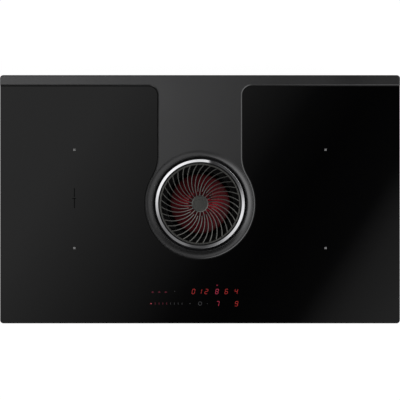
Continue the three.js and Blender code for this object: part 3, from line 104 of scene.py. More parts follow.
def add_node(tree, kind, inputs=None, **settings):
    node = tree.nodes.new("ShaderNode" + kind)
    for label, value in settings.items():
        setattr(node, label, value)
    set_inputs(tree, node, inputs or {})
    return node


def maths(tree, operation, *values, clamp=False):
    """The result of a Math node; each value is a number or another node's output."""
    node = add_node(tree, "Math", dict(enumerate(values)), operation=operation, use_clamp=clamp)
    return node.outputs[0]


def named_primitive(name):
    """Names the primitive that was just added and puts its place into its mesh."""
    piece = bpy.context.object
    piece.name = name
    bpy.ops.object.transform_apply(location=True, rotation=True, scale=True)
    return piece


bpy.ops.object.select_all(action="DESELECT")
bpy.ops.mesh.primitive_plane_add(size=floor_size, location=(0, 0, -floor_drop))
floor = named_primitive("studio_floor")
floor_paint = bpy.data.materials.new("studio_floor")
floor_paint.use_nodes = True
floor.data.materials.append(floor_paint)
tree = floor_paint.node_tree
tree.nodes.clear()
path = add_node(tree, "LightPath").outputs
seen_or_mirrored = maths(tree, "MAXIMUM", path["Is Camera Ray"], path["Is Glossy Ray"])
any_clear_ray = maths(tree, "MAXIMUM", seen_or_mirrored, path["Is Transmission Ray"])
matte = add_node(tree, "BsdfDiffuse", {"Color": floor_shade})
white = add_node(tree, "Emission", {"Strength": floor_white_level})
floor_mix = add_node(tree, "MixShader", {
    0: maths(tree, "MULTIPLY", any_clear_ray, floor_glow),
    1: matte.outputs[0],
    2: white.outputs[0],
})
add_node(tree, "OutputMaterial", {"Surface": floor_mix.outputs[0]})


# Studio round the hob: white at the horizon, a dim ceiling that brightens to the left, a soft box on
# the left, a strip high on the right, and a row of soft boxes low round the hob, which the polished
# ring shows as bright and dark arcs.
even_light = 0.42
ceiling_dim = 0.004
left_box_light = 0.9
edge_light = 1.15
ring_box_light = 1.45
lowest_rise = 0.05
studio = bpy.data.worlds.new("studio")
scene.world = studio
studio.use_nodes = True
sky = studio.node_tree
sky.nodes.clear()


def ramp(tree, value, stops):
    """A colour ramp; each stop is a place with a grey or a colour."""
    node = add_node(tree, "ValToRGB", {"Fac": value})
    elements = node.color_ramp.elements
    while len(elements) < len(stops):
        elements.new(0.5)
    for element, (place, tone) in zip(elements, stops):
        element.position = place
        element.color = (*tone, 1) if isinstance(tone, tuple) else (tone, tone, tone, 1)
    return node.outputs["Color"]


def times(*values):
    """The product of two or more lights or masks of the studio."""
    product = values[0]
    for value in values[1:]:
        product = maths(sky, "MULTIPLY", product, value)
    return product


def rise(value, low, high):
    """0 at low, 1 at high and smooth between them, also where high is the smaller one."""
    rising = low < high
    band = add_node(sky, "MapRange", {
        "Value": value,
        "From Min": min(low, high),
        "From Max": max(low, high),
        "To Min": 0 if rising else 1,
        "To Max": 1 if rising else 0,
    }, interpolation_type="SMOOTHSTEP")
    return band.outputs["Result"]


def strip(value, low, low_full, high_full, high):
    """1 between the two middle values, falling to 0 at the outer ones."""
    return times(rise(value, low, low_full), rise(value, high, high_full))


look = add_node(sky, "TexCoord")
split = add_node(sky, "SeparateXYZ", {0: look.outputs["Generated"]})
to_x, to_y, to_z = split.outputs
overhead = maths(sky, "MAXIMUM", to_z, lowest_rise)
lean_right = maths(sky, "DIVIDE", to_x, overhead)
lean_back = maths(sky, "DIVIDE", to_y, overhead)


def leaning(right, back):
    """How far a direction leans to one side of the zenith, in shares of right and back."""
    return maths(sky, "MULTIPLY_ADD", lean_back, back, maths(sky, "MULTIPLY", lean_right, right))


around = maths(sky, "ARCTAN2", to_y, to_x)
ring_lights = ramp(sky, maths(sky, "MULTIPLY_ADD", around, 1 / (2 * math.pi), 0.5), [
    (0.00, 0.70), (0.03, 0.38), (0.06, 0.14), (0.09, 0.06), (0.16, 0.05), (0.21, 0.03),
    (0.2145, 0.03), (0.2160, 0.80), (0.26, 0.72), (0.31, 0.92), (0.39, 1.0), (0.45, 0.90),
    (0.50, 0.60), (0.55, 0.26), (0.60, 0.16), (0.69, 0.19), (0.72, 0.07), (0.77, 0.06),
    (0.81, 0.16), (0.84, 0.34), (0.87, 0.58), (0.93, 0.80), (0.96, 0.84), (1.0, 0.70),
])
lit_ring = times(ring_lights, strip(to_z, 0.18, 0.30, 0.58, 0.68), ring_box_light)
ceiling = ramp(sky, maths(sky, "MULTIPLY_ADD", leaning(0.84, -0.55), 2, 0.5, clamp=True), [
    (0.0, 0.80), (0.18, 0.66), (0.30, 0.62), (0.45, 0.27), (0.56, 0.03), (0.62, 0.0),
    (0.72, 0.02), (0.77, 0.28), (0.84, 0.46),
])
lit_ceiling = times(ceiling, rise(lean_back, 0.24, 0.12), rise(to_z, 0.86, 0.95))
box_side = maths(sky, "ABSOLUTE", leaning(-0.34, 0.94))
box_reach = strip(leaning(-0.94, -0.34), 0.18, 0.30, 0.58, 0.72)
left_box = times(box_reach, rise(box_side, 0.62, 0.36), left_box_light)
edge_strip = times(strip(to_z, 0.66, 0.72, 0.82, 0.88), rise(leaning(0.98, -0.17), 0.05, 0.50), edge_light)
horizon = rise(to_z, 0.14, 0.02)
mirrored_studio = ceiling_dim
for light in (lit_ceiling, left_box, edge_strip, lit_ring, horizon):
    mirrored_studio = maths(sky, "ADD", light, mirrored_studio)
path = add_node(sky, "LightPath").outputs
soft = add_node(sky, "Mix", {"Factor": path["Is Diffuse Ray"], 2: mirrored_studio, 3: even_light})
seen = add_node(sky, "Mix", {"Factor": path["Is Camera Ray"], 2: soft.outputs[0], 3: 1.0})
background = add_node(sky, "Background", {"Strength": seen.outputs[0]})
add_node(sky, "OutputWorld", {"Surface": background.outputs[0]})

# One large soft lamp high on the right, that rounds off the casting and lights the grille and the dome.
lamp_place = Vector((2.9, -1.0, 5.7))
lamp_size = 1.3
lamp_power = 140
lamp_aim = (Vector((0, 0, cad_high.z)) - lamp_place).to_track_quat("-Z", "Y").to_euler()
bpy.ops.object.light_add(type="AREA", location=lamp_place, rotation=lamp_aim)
lamp = bpy.context.object
lamp.name = "soft_lamp"
lamp.data.size = lamp_size
lamp.data.energy = lamp_power
lamp.visible_glossy = False


# Glass top: one pane of black ceramic glass, 4 mm thick, that runs in front of the intake and is
# cut out from the back for the casting's neck. Its edges are ground with a narrow facet.
hob_width = 830 * MM
hob_depth = 515 * MM
half_width = hob_width / 2
hob_back = hob_depth / 2
worktop = 215 * MM
intake_y = hob_back - 266.8 * MM
bar_front = hob_back - 21.2 * MM
collar_radius = 114 * MM
neck_half = 87 * MM
neck_fillet = 20 * MM
flare_radius = 78 * MM
corner_radius = 7 * MM
lip_overlap = 4 * MM
glass_low = worktop + 2.3 * MM
glass_high = worktop + 6.3 * MM
glass_facet = 0.7 * MM
same_spot = 0.001 * MM


def pick(piece):
    """Selects one piece alone and makes it the active one."""
    bpy.ops.object.select_all(action="DESELECT")
    piece.select_set(True)
    bpy.context.view_layer.objects.active = piece


def start_piece(piece):
    """Opens a piece for editing with nothing selected."""
    pick(piece)
    bpy.ops.object.mode_set(mode="EDIT")
    bpy.ops.mesh.select_all(action="DESELECT")


def end_piece():
    bpy.ops.object.mode_set(mode="OBJECT")
    bpy.ops.object.select_all(action="DESELECT")


def choose(parts, wanted):
    """Selects only the wanted ones among the faces, edges or vertices of the piece being edited."""
    bpy.ops.mesh.select_all(action="DESELECT")
    bpy.ops.object.mode_set(mode="OBJECT")
    for part in getattr(bpy.context.object.data, parts):
        part.select = wanted(part)
    bpy.ops.object.mode_set(mode="EDIT")


def apply_modifier(piece, modifier):
    pick(piece)
    bpy.ops.object.modifier_apply(modifier=modifier.name)
    piece.select_set(False)


def slab(name, low, high):
    """A cube set to two opposite corners."""
    bpy.ops.object.select_all(action="DESELECT")
    middle = (Vector(low) + Vector(high)) / 2
    bpy.ops.mesh.primitive_cube_add(size=1, location=middle, scale=Vector(high) - Vector(low))
    return named_primitive(name)


def disc(name, x, y, radius, low, high, steps=192):
    bpy.ops.object.select_all(action="DESELECT")
    bpy.ops.mesh.primitive_cylinder_add(
        vertices=steps, radius=radius, depth=high - low, location=(x, y, (low + high) / 2))
    return named_primitive(name)


def combine(piece, tool, operation):
    """Joins a tool to a piece or cuts it away, and clears the tool."""
    modifier = piece.modifiers.new(operation.lower(), "BOOLEAN")
    modifier.operation = operation
    modifier.solver = "EXACT"
    modifier.object = tool
    apply_modifier(piece, modifier)
    bpy.data.objects.remove(tool, do_unlink=True)


def arc_points(x, y, radius, start, end, steps):
    """Points on an arc, both ends included; angles in radians."""
    points = []
    for step in range(steps + 1):
        angle = start + (end - start) * step / steps
        points.append((x + radius * math.cos(angle), y + radius * math.sin(angle)))
    return points


def keyhole_side(inset):
    """The right-hand side of the keyhole, from the collar's front up to the bar, moved in by inset."""
    flare_x = neck_half + flare_radius
    flare_y = intake_y + math.sqrt((collar_radius + flare_radius) ** 2 - flare_x ** 2)
    tangent = math.atan2(flare_y - intake_y, flare_x)
    fillet_x = neck_half + neck_fillet
    fillet_y = bar_front - neck_fillet
    collar = arc_points(0, intake_y, collar_radius - inset, -math.pi / 2, tangent, 64)
    flare = arc_points(flare_x, flare_y, flare_radius + inset, math.pi + tangent, math.pi, 20)
    fillet = arc_points(fillet_x, fillet_y, neck_fillet + inset, math.pi, math.pi / 2, 16)
    return collar[:-1] + flare + fillet


def mirrored(points):
    return [(-x, y) for x, y in reversed(points)]


def outlined(name, points, low, high):
    """A flat outline, drawn as a closed curve, filled and extruded between two heights."""
    path = bpy.data.curves.new(name, "CURVE")
    path.dimensions = "3D"
    spline = path.splines.new("POLY")
    spline.points.add(len(points) - 1)
    spline.use_cyclic_u = True
    for spot, (x, y) in zip(spline.points, points):
        spot.co = (x, y, low, 1)
    piece = bpy.data.objects.new(name, path)
    scene.collection.objects.link(piece)
    pick(piece)
    bpy.ops.object.convert(target="MESH")
    bpy.ops.object.mode_set(mode="EDIT")
    bpy.ops.mesh.select_mode(type="EDGE")
    bpy.ops.mesh.select_all(action="SELECT")
    bpy.ops.mesh.remove_doubles(threshold=same_spot)
    bpy.ops.mesh.select_all(action="SELECT")
    bpy.ops.mesh.edge_face_add()
    bpy.ops.mesh.extrude_region_move(TRANSFORM_OT_translate={"value": (0, 0, high - low)})
    bpy.ops.mesh.select_all(action="SELECT")
    bpy.ops.mesh.normals_make_consistent(inside=False)
    end_piece()
    return piece


def facet_rim(piece, height, width, segments=2):
    """Bevels the outline of the flat face at a height."""
    start_piece(piece)
    bpy.ops.mesh.select_mode(type="EDGE")
    bpy.ops.mesh.select_all(action="SELECT")
    bpy.ops.mesh.dissolve_limited(angle_limit=math.radians(0.05))
    bpy.ops.object.mode_set(mode="OBJECT")
    uses = Counter()
    for face in piece.data.polygons:
        if abs(face.normal.z) > 0.99 and abs(face.center.z - height) < 0.01 * MM:
            uses.update(face.edge_keys)
    bpy.ops.object.mode_set(mode="EDIT")
    choose("edges", lambda edge: uses[edge.key] == 1)
    bpy.ops.mesh.bevel(offset=width, segments=segments, affect="EDGES")
    end_piece()


def smooth_piece(piece, degrees=30):
    """Shades smooth across blunt edges; large flat faces keep their own normals."""
    pick(piece)
    bpy.ops.object.shade_smooth_by_angle(angle=math.radians(degrees))
    flatten = piece.modifiers.new("flatten", "WEIGHTED_NORMAL")
    flatten.weight = 100
    flatten.keep_sharp = True
    apply_modifier(piece, flatten)


def principled(name, colour, values=None):
    """A new material with plain values on its shader; returns it with its node tree and shader."""
    finish = bpy.data.materials.new(name)
    finish.use_nodes = True
    shader = finish.node_tree.nodes["Principled BSDF"]
    set_inputs(finish.node_tree, shader, {"Base Color": (*colour, 1), **(values or {})})
    return finish, finish.node_tree, shader


def new_group(name, inputs, outputs):
    """A shader node group with named number inputs and outputs."""
    group = bpy.data.node_groups.new(name, "ShaderNodeTree")
    for label, value in inputs.items():
        socket = group.interface.new_socket(label, in_out="INPUT", socket_type="NodeSocketFloat")
        socket.default_value = value
    for label in outputs:
        group.interface.new_socket(label, in_out="OUTPUT", socket_type="NodeSocketFloat")
    return group, group.nodes.new("NodeGroupInput"), group.nodes.new("NodeGroupOutput")


def spread_roughness(group, noise, group_in, group_out):
    """Lets a group's noise shift the roughness between the two values that go into the group."""
    spread = add_node(group, "MapRange", {
        "Value": noise.outputs["Fac"],
        "From Min": 0.3,
        "From Max": 0.7,
        "To Min": group_in.outputs["Low Roughness"],
        "To Max": group_in.outputs["High Roughness"],
    })
    set_inputs(group, group_out, {"Roughness": spread.outputs["Result"]})


def own_place(tree):
    """Object coordinates, so that a pattern stays where it is on its piece."""
    return add_node(tree, "TexCoord").outputs["Object"]


# Fine unevenness in a coat or polish: a soft cloud that shifts the roughness, and a fine grain.
coat_grain, grain_in, grain_out = new_group(
    "coat_grain",
    {"Cloud Scale": 12, "Grain Scale": 1500, "Low Roughness": 0.3, "High Roughness": 0.4},
    ["Roughness", "Relief"])
place = own_place(coat_grain)
cloud = add_node(coat_grain, "TexNoise", {
    "Vector": place, "Scale": grain_in.outputs["Cloud Scale"], "Detail": 4})
fine = add_node(coat_grain, "TexNoise", {
    "Vector": place, "Scale": grain_in.outputs["Grain Scale"], "Detail": 2})
spread_roughness(coat_grain, cloud, grain_in, grain_out)
set_inputs(coat_grain, grain_out, {"Relief": fine.outputs["Fac"]})


def worked(tree, shader, group, values, bump, depth):
    """Lets an effect group shift a shader's roughness and raise a bump of the stated strength."""
    effect = add_node(tree, "Group", values, node_tree=group).outputs
    relief = add_node(tree, "Bump", {"Strength": bump, "Distance": depth, "Height": effect["Relief"]})
    set_inputs(tree, shader, {"Roughness": effect["Roughness"], "Normal": relief.outputs["Normal"]})


def grained(tree, shader, cloud_scale, grain_scale, low, high, bump, depth):
    values = {
        "Cloud Scale": cloud_scale, "Grain Scale": grain_scale, "Low Roughness": low, "High Roughness": high}
    worked(tree, shader, coat_grain, values, bump, depth)


def fit(piece, finish, body, node=None):
    """Gives a piece its finish and its body, and hides the CAD node that it replaces, if there is one."""
    piece.data.materials.append(finish)
    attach(piece, body)
    if node:
        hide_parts(node)


glass_back = bar_front + lip_overlap
corner_x = half_width - corner_radius
corner_y = corner_radius - hob_back
notch = keyhole_side(lip_overlap)
glass = outlined(
    "glass_pane",
    [(-half_width, glass_back)]
    + arc_points(-corner_x, corner_y, corner_radius, math.pi, 1.5 * math.pi, 10)
    + arc_points(corner_x, corner_y, corner_radius, 1.5 * math.pi, 2 * math.pi, 10)
    + [(half_width, glass_back)]
    + notch[::-1] + mirrored(notch)[::-1][1:],
    glass_low, glass_high)
facet_rim(glass, glass_high, glass_facet)
facet_rim(glass, glass_low, glass_facet)
smooth_piece(glass)
black_glass, tree, shader = principled("black_glass", (0.001, 0.001, 0.0011))
grained(tree, shader, 6, 60, 0.035, 0.05, 0.02, 0.02 * MM)
fit(glass, black_glass, "root", "glass_top")


# Surround: one die casting with the bar along the back, the neck and the collar. Its lip lies on the
# glass, its plug fills the cut-out, and its skirt hangs round the well. Satin dark-grey coat.
plate_high = worktop + 8.8 * MM
lip_thickness = 2.2 * MM
lip_chamfer = 2.0 * MM
lip_fall = 0.74 * MM
lip_low = plate_high - lip_thickness
plug_inset = 4.6 * MM
wall_setback = 0.15 * MM
sunk_in = 0.05 * MM
dish_radius = 112.3 * MM
mouth_radius = 99.9 * MM
well_radius = 96.6 * MM
dish_drop = 1.6 * MM
mouth_bevel = 4 * MM
skirt_wall = 3 * MM
skirt_low = glass_low - 14 * MM
skirt_high = glass_low + 0.5 * MM
tool_excess = 1 * MM
dish_steps = 10
dish_curve = 2.0


def turned(name, x, y, profile, closed=True, steps=192):
    """Turns a profile of (radius, height) pairs round an upright axis; an open one ends in flat discs."""
    bpy.ops.object.select_all(action="DESELECT")
    radius, height = profile[0]
    fill = "NOTHING" if closed else "NGON"
    bpy.ops.mesh.primitive_circle_add(vertices=steps, radius=radius, location=(x, y, height), fill_type=fill)
    piece = named_primitive(name)
    bpy.ops.object.mode_set(mode="EDIT")
    bpy.ops.mesh.select_mode(type="EDGE")
    bpy.ops.mesh.select_all(action="SELECT")
    for next_radius, next_height in profile[1:] + (profile[:1] if closed else []):
        bpy.ops.mesh.extrude_region_move(TRANSFORM_OT_translate={"value": (0, 0, next_height - height)})
        grow = next_radius / radius
        bpy.ops.transform.resize(value=(grow, grow, 1), center_override=(x, y, next_height))
        radius, height = next_radius, next_height
    bpy.ops.mesh.select_all(action="SELECT")
    bpy.ops.mesh.remove_doubles(threshold=same_spot)
    bpy.ops.mesh.normals_make_consistent(inside=False)
    end_piece()
    return piece


def surround_outline(inset, setback):
    """The casting from above: inset moves its edges on the glass, setback its outer walls."""
    outer = half_width - setback
    rear = hob_back - setback
    radius = corner_radius - setback
    right = keyhole_side(inset) + [(outer, bar_front + inset)]
    right += arc_points(outer - radius, rear - radius, radius, 0, math.pi / 2, 10)
    return right + mirrored(right)[:-1]


casting = outlined("casting", surround_outline(0, 0), lip_low, plate_high)
start_piece(casting)
choose("polygons", lambda face: face.normal.z > 0.9)
bpy.ops.mesh.select_mode(type="FACE")
bpy.ops.mesh.inset(thickness=lip_chamfer)
bpy.ops.mesh.select_mode(type="VERT")
bpy.ops.object.mode_set(mode="OBJECT")
inner = {index for face in casting.data.polygons if face.select for index in face.vertices}
bpy.ops.object.mode_set(mode="EDIT")
choose("vertices", lambda spot: spot.co.z > plate_high - lip_fall / 2 and spot.index not in inner)
bpy.ops.transform.translate(value=(0, 0, -lip_fall))
end_piece()
plug = outlined("plug", surround_outline(plug_inset, wall_setback), glass_low, lip_low + sunk_in)
combine(casting, plug, "UNION")
skirt = disc("skirt", 0, intake_y, well_radius + skirt_wall, skirt_low, skirt_high)
combine(casting, skirt, "UNION")
well = [(well_radius, skirt_low - tool_excess), (well_radius, plate_high - dish_drop - mouth_bevel)]
for step in range(dish_steps + 1):
    share = step / dish_steps
    well.append((
        mouth_radius + (dish_radius - mouth_radius) * share,
        plate_high - dish_drop * (1 - share) ** dish_curve))
well.append((dish_radius, plate_high + tool_excess))
combine(casting, turned("well", 0, intake_y, well, closed=False), "DIFFERENCE")
smooth_piece(casting, 12)
casting.name = "surround_casting"
cast_grey, tree, shader = principled("cast_grey", (0.138, 0.138, 0.140), {"Metallic": 0.92})
grained(tree, shader, 9, 2600, 0.16, 0.23, 0.12, 0.02 * MM)
fit(casting, cast_grey, "root", "surround")


# Joint bead: black silicone is drawn along the casting's edge, where its lip lies on the glass. It
# runs from one side of the hob round the collar to the other and keeps liquid out of the joint.
bead_width = 2.1 * MM
bead_hidden = 0.3 * MM
bead_rise = 0.4 * MM
bead_end = half_width - 0.4 * MM
bead_outside = keyhole_side(-bead_width) + [(bead_end, bar_front - bead_width)]
bead_inside = keyhole_side(bead_hidden) + [(bead_end, bar_front + bead_hidden)]
bead = outlined(
    "joint_bead",
    mirrored(bead_outside)[:-1] + bead_outside + bead_inside[::-1] + mirrored(bead_inside)[::-1][1:],
    glass_high, glass_high + bead_rise)
smooth_piece(bead, 30)
black_silicone, tree, shader = principled(
    "black_silicone", (0.003, 0.003, 0.003), {"Specular IOR Level": 0.2})
grained(tree, shader, 40, 1800, 0.55, 0.7, 0.2, 0.03 * MM)
fit(bead, black_silicone, "root")


# Trim ring: turned and polished steel, a cone that falls towards the grille. It lies in the mouth of
# the well. Fine turning marks run round it.
ring_outer = 92.7 * MM
ring_inner = 87.0 * MM
ring_top = plate_high - 3.5 * MM
ring_low = ring_top - 9 * MM
cone_low = ring_top - 3.45 * MM
ring = turned("trim_ring_turned", 0, intake_y, [
    (ring_inner, ring_low),
    (ring_outer, ring_low),
    (ring_outer, ring_top - 0.35 * MM),
    (ring_outer - 0.15 * MM, ring_top - 0.1 * MM),
    (ring_outer - 0.45 * MM, ring_top),
    (ring_inner + 0.55 * MM, cone_low + 0.1 * MM),
    (ring_inner + 0.15 * MM, cone_low - 0.1 * MM),
    (ring_inner, cone_low - 0.5 * MM),
], steps=256)
smooth_piece(ring, 20)

# Marks of turning or brushing: noise drawn out along X, or round an axis when "Round" is 1.
turning, marks_in, marks_out = new_group(
    "turning_marks",
    {"Round": 0, "Centre X": 0, "Centre Y": 0, "Across": 2500, "Along": 3, "Low Roughness": 0.08,
     "High Roughness": 0.2},
    ["Roughness", "Relief"])
swing_scale = 0.1
parts = add_node(turning, "SeparateXYZ", {0: own_place(turning)}).outputs
given = marks_in.outputs
from_x = maths(turning, "SUBTRACT", parts["X"], given["Centre X"])
from_y = maths(turning, "SUBTRACT", parts["Y"], given["Centre Y"])
square_x = maths(turning, "MULTIPLY", from_x, from_x)
square_y = maths(turning, "MULTIPLY", from_y, from_y)
reach = maths(turning, "SQRT", maths(turning, "ADD", square_x, square_y))
swing = maths(turning, "MULTIPLY", maths(turning, "ARCTAN2", from_y, from_x), swing_scale)
across = add_node(turning, "Mix", {"Factor": given["Round"], 2: from_y, 3: reach}).outputs[0]
along = add_node(turning, "Mix", {"Factor": given["Round"], 2: from_x, 3: swing}).outputs[0]
drawn = add_node(turning, "CombineXYZ", {
    "X": maths(turning, "MULTIPLY", across, given["Across"]),
    "Y": maths(turning, "MULTIPLY", along, given["Along"]),
    "Z": maths(turning, "MULTIPLY", parts["Z"], given["Across"]),
})
streaks = add_node(turning, "TexNoise", {"Vector": drawn.outputs[0], "Scale": 1, "Detail": 3})
spread_roughness(turning, streaks, marks_in, marks_out)
set_inputs(turning, marks_out, {"Relief": streaks.outputs["Fac"]})


def brushed(tree, shader, low, high, bump, across, along, centre=None):
    """Brushing along X, or turning marks round an upright axis through centre."""
    x, y = centre or (0, 0)
    worked(tree, shader, turning, {
        "Round": 1 if centre else 0, "Centre X": x, "Centre Y": y, "Across": across, "Along": along,
        "Low Roughness": low, "High Roughness": high,
    }, bump, 0.02 * MM)


polished_steel, tree, shader = principled("polished_steel", (0.80, 0.80, 0.82), {"Metallic": 1})
brushed(tree, shader, 0.06, 0.14, 0.05, 1800, 6, centre=(0, intake_y))
fit(ring, polished_steel, "root", "trim_ring")


# Intake grille: one casting of 36 swept vanes between hub and rim, every other one short, and a disc
# on the hub. Satin grey coat. It lifts out of the well.
grille_radius = 84.4 * MM
rim_width = 4.4 * MM
rim_inner = grille_radius - rim_width
rim_high = ring_top - 5 * MM
rim_low = rim_high - 9 * MM
hub_radius = 17.5 * MM
hub_high = rim_high + 3 * MM
hub_flat = hub_radius - 2.3 * MM
hub_disc = 10 * MM
disc_high = hub_high + 0.35 * MM
vane_recess = 0.8 * MM
vane_dome = 3 * MM
vane_top_width = 1.65 * MM
vane_low_width = 1.2 * MM
vane_lean = 0.8 * MM
vane_sweep = math.radians(26.5)
vane_curve = 1.32
vane_pairs = 18
first_vane = math.radians(1.5)
short_start = 25.6 * MM
vane_hidden = 1 * MM
vane_steps = 14
stub_half = 0.25 * MM
look_ahead = 0.05 * MM


def vane_turn(radius):
    share = max(0, radius - hub_radius) / (rim_inner - hub_radius)
    return vane_sweep * share ** vane_curve


def vane_height(radius):
    return rim_high - vane_recess + vane_dome * (1 - (radius / grille_radius) ** 2)


def vane_point(radius, phase):
    """The middle of a vane at a radius, and the way it heads there."""
    here, ahead = [
        Vector((reach * math.cos(phase - vane_turn(reach)), reach * math.sin(phase - vane_turn(reach)), 0))
        for reach in (radius, radius + look_ahead)]
    onward = ahead - here
    return here + Vector((0, intake_y, 0)), math.atan2(onward.y, onward.x)


def swept_vane(name, start, phase):
    """A vane drawn out of its first cross-section along the swept path, with a leaning top."""
    end = rim_inner + vane_hidden
    low = rim_low + vane_recess
    point, heading = vane_point(start, phase)
    high = vane_height(start)
    half = Vector((stub_half, vane_low_width / 2, 0))
    vane = slab(name, point - half + Vector((0, 0, low)), point + half + Vector((0, 0, high)))
    start_piece(vane)
    choose("polygons", lambda face: face.normal.z > 0.9)
    widen = vane_top_width / vane_low_width
    bpy.ops.transform.resize(value=(1, widen, 1), center_override=(point.x, point.y, high))
    choose("vertices", lambda spot: spot.co.z > (low + high) / 2 and spot.co.y > point.y)
    bpy.ops.transform.translate(value=(0, 0, -vane_lean))
    bpy.ops.mesh.select_all(action="SELECT")
    bpy.ops.transform.rotate(value=-heading, orient_axis="Z", center_override=(point.x, point.y, low))
    forward = Vector((math.cos(heading), math.sin(heading), 0))
    choose("polygons", lambda face: (face.center - point).dot(forward) > stub_half / 2)
    for step in range(1, vane_steps + 1):
        radius = start + (end - start) * step / vane_steps
        target, next_heading = vane_point(radius, phase)
        shift = target - point
        bpy.ops.mesh.extrude_region_move(TRANSFORM_OT_translate={"value": shift})
        middle = (target.x, target.y, low)
        bpy.ops.transform.rotate(value=heading - next_heading, orient_axis="Z", center_override=middle)
        next_high = vane_height(radius)
        taller = (next_high - low) / (high - low)
        bpy.ops.transform.resize(value=(1, 1, taller), center_override=middle)
        point, heading, high = target, next_heading, next_high
    end_piece()
    return vane


def soften(piece, width, segments=2, degrees=35):
    """Rounds every edge sharper than the angle."""
    modifier = piece.modifiers.new("soften", "BEVEL")
    modifier.width = width
    modifier.segments = segments
    modifier.limit_method = "ANGLE"
    modifier.angle_limit = math.radians(degrees)
    modifier.use_clamp_overlap = True
    apply_modifier(piece, modifier)


def turn_piece(piece, angle, x, y):
    """Turns a whole piece round an upright axis, counter-clockwise from above."""
    start_piece(piece)
    bpy.ops.mesh.select_all(action="SELECT")
    bpy.ops.transform.rotate(value=-angle, orient_axis="Z", center_override=(x, y, 0))
    end_piece()


def turned_copies(piece, count, x, y):
    """Copies a piece with its own mesh at even steps round an upright axis; returns all of them."""
    ring_of_pieces = [piece]
    for index in range(1, count):
        pick(piece)
        bpy.ops.object.duplicate(linked=False)
        twin = bpy.context.object
        turn_piece(twin, 2 * math.pi * index / count, x, y)
        ring_of_pieces.append(twin)
    return ring_of_pieces


def join_pieces(name, pieces):
    bpy.ops.object.select_all(action="DESELECT")
    for piece in pieces:
        piece.select_set(True)
    bpy.context.view_layer.objects.active = pieces[0]
    bpy.ops.object.join()
    bpy.ops.object.select_all(action="DESELECT")
    pieces[0].name = name
    return pieces[0]


short_vane = swept_vane("short_vane", short_start, first_vane)
long_vane = swept_vane("long_vane", hub_radius - vane_hidden, first_vane + math.pi / vane_pairs)
for vane in (short_vane, long_vane):
    soften(vane, 0.22 * MM)
grille_rim = turned("grille_rim", 0, intake_y, [
    (rim_inner, rim_low),
    (grille_radius - 0.4 * MM, rim_low),
    (grille_radius, rim_low + 0.4 * MM),
    (grille_radius, rim_high - 0.8 * MM),
    (grille_radius - 0.3 * MM, rim_high - 0.25 * MM),
    (grille_radius - 0.8 * MM, rim_high),
    (grille_radius - 2 * MM, rim_high),
    (grille_radius - 2.5 * MM, rim_high - 0.3 * MM),
    (rim_inner + 0.5 * MM, rim_high - 2.6 * MM),
    (rim_inner, rim_high - 3.6 * MM),
])
hub = turned("grille_hub", 0, intake_y, [
    (hub_radius - 0.4 * MM, rim_low),
    (hub_radius, rim_low + 0.4 * MM),
    (hub_radius, hub_high - 1.6 * MM),
    (hub_radius - 0.5 * MM, hub_high - 0.9 * MM),
    (hub_flat + 0.4 * MM, hub_high - 0.08 * MM),
    (hub_flat, hub_high),
    (hub_disc + 0.5 * MM, hub_high),
    (hub_disc + 0.35 * MM, hub_high - 0.25 * MM),
    (hub_disc + 0.05 * MM, hub_high - 0.25 * MM),
    (hub_disc - 0.1 * MM, disc_high - 0.15 * MM),
    (hub_disc - 0.4 * MM, disc_high),
    (1 * MM, disc_high + 0.03 * MM),
], closed=False, steps=128)
grille = join_pieces("intake_grille_cast", [
    grille_rim,
    hub,
    *turned_copies(short_vane, vane_pairs, 0, intake_y),
    *turned_copies(long_vane, vane_pairs, 0, intake_y),
])
start_piece(grille)
bpy.ops.mesh.select_all(action="SELECT")
bpy.ops.mesh.normals_make_consistent(inside=False)
end_piece()
smooth_piece(grille, 32)


def axis_distance(tree, place):
    """How far a place lies from the upright axis of the intake."""
    flat = add_node(tree, "VectorMath", {
        0: place, 1: (1, 1, 0), 2: (0, -intake_y, 0)}, operation="MULTIPLY_ADD")
    length = add_node(tree, "VectorMath", {0: flat.outputs["Vector"]}, operation="LENGTH")
    return length.outputs["Value"]


# The hub and the rim stand above the vanes in the dull coat. The leaning tops of the vanes get a painted
# highlight, a lighter tone, and their flanks fade to near black downwards: painted shade between the vanes.
cast_grille, tree, shader = principled("cast_grille", (0.10, 0.10, 0.095), {"Metallic": 0.8})
grained(tree, shader, 30, 3200, 0.28, 0.38, 0.14, 0.025 * MM)
tone_ramp_above = 1 * MM
painted_shade_reach = 4 * MM
vane_highlight_and_shade_tones = ((-0.8 * MM, 0.115), (-0.2 * MM, 0.20), (0.8 * MM, 0.20), (2.2 * MM, 0.012))
coat_blue_share = 0.94
place = own_place(tree)
outward = maths(tree, "DIVIDE", axis_distance(tree, place), grille_radius)
dome_fall = maths(tree, "MULTIPLY", maths(tree, "MULTIPLY", outward, outward), vane_dome)
height = add_node(tree, "SeparateXYZ", {0: place}).outputs["Z"]
below = maths(tree, "SUBTRACT", vane_height(0) + tone_ramp_above, maths(tree, "ADD", dome_fall, height))
# Painted light in the coat's colour: a painted highlight on the leaning vane tops, painted shade down the
# flanks.
coat = ramp(tree, maths(tree, "DIVIDE", below, painted_shade_reach), [
    ((drop + tone_ramp_above) / painted_shade_reach, (tone, tone, coat_blue_share * tone)) for drop, tone in vane_highlight_and_shade_tones])
set_inputs(tree, shader, {"Base Color": coat})
fit(grille, cast_grille, "grille", "intake_grille")


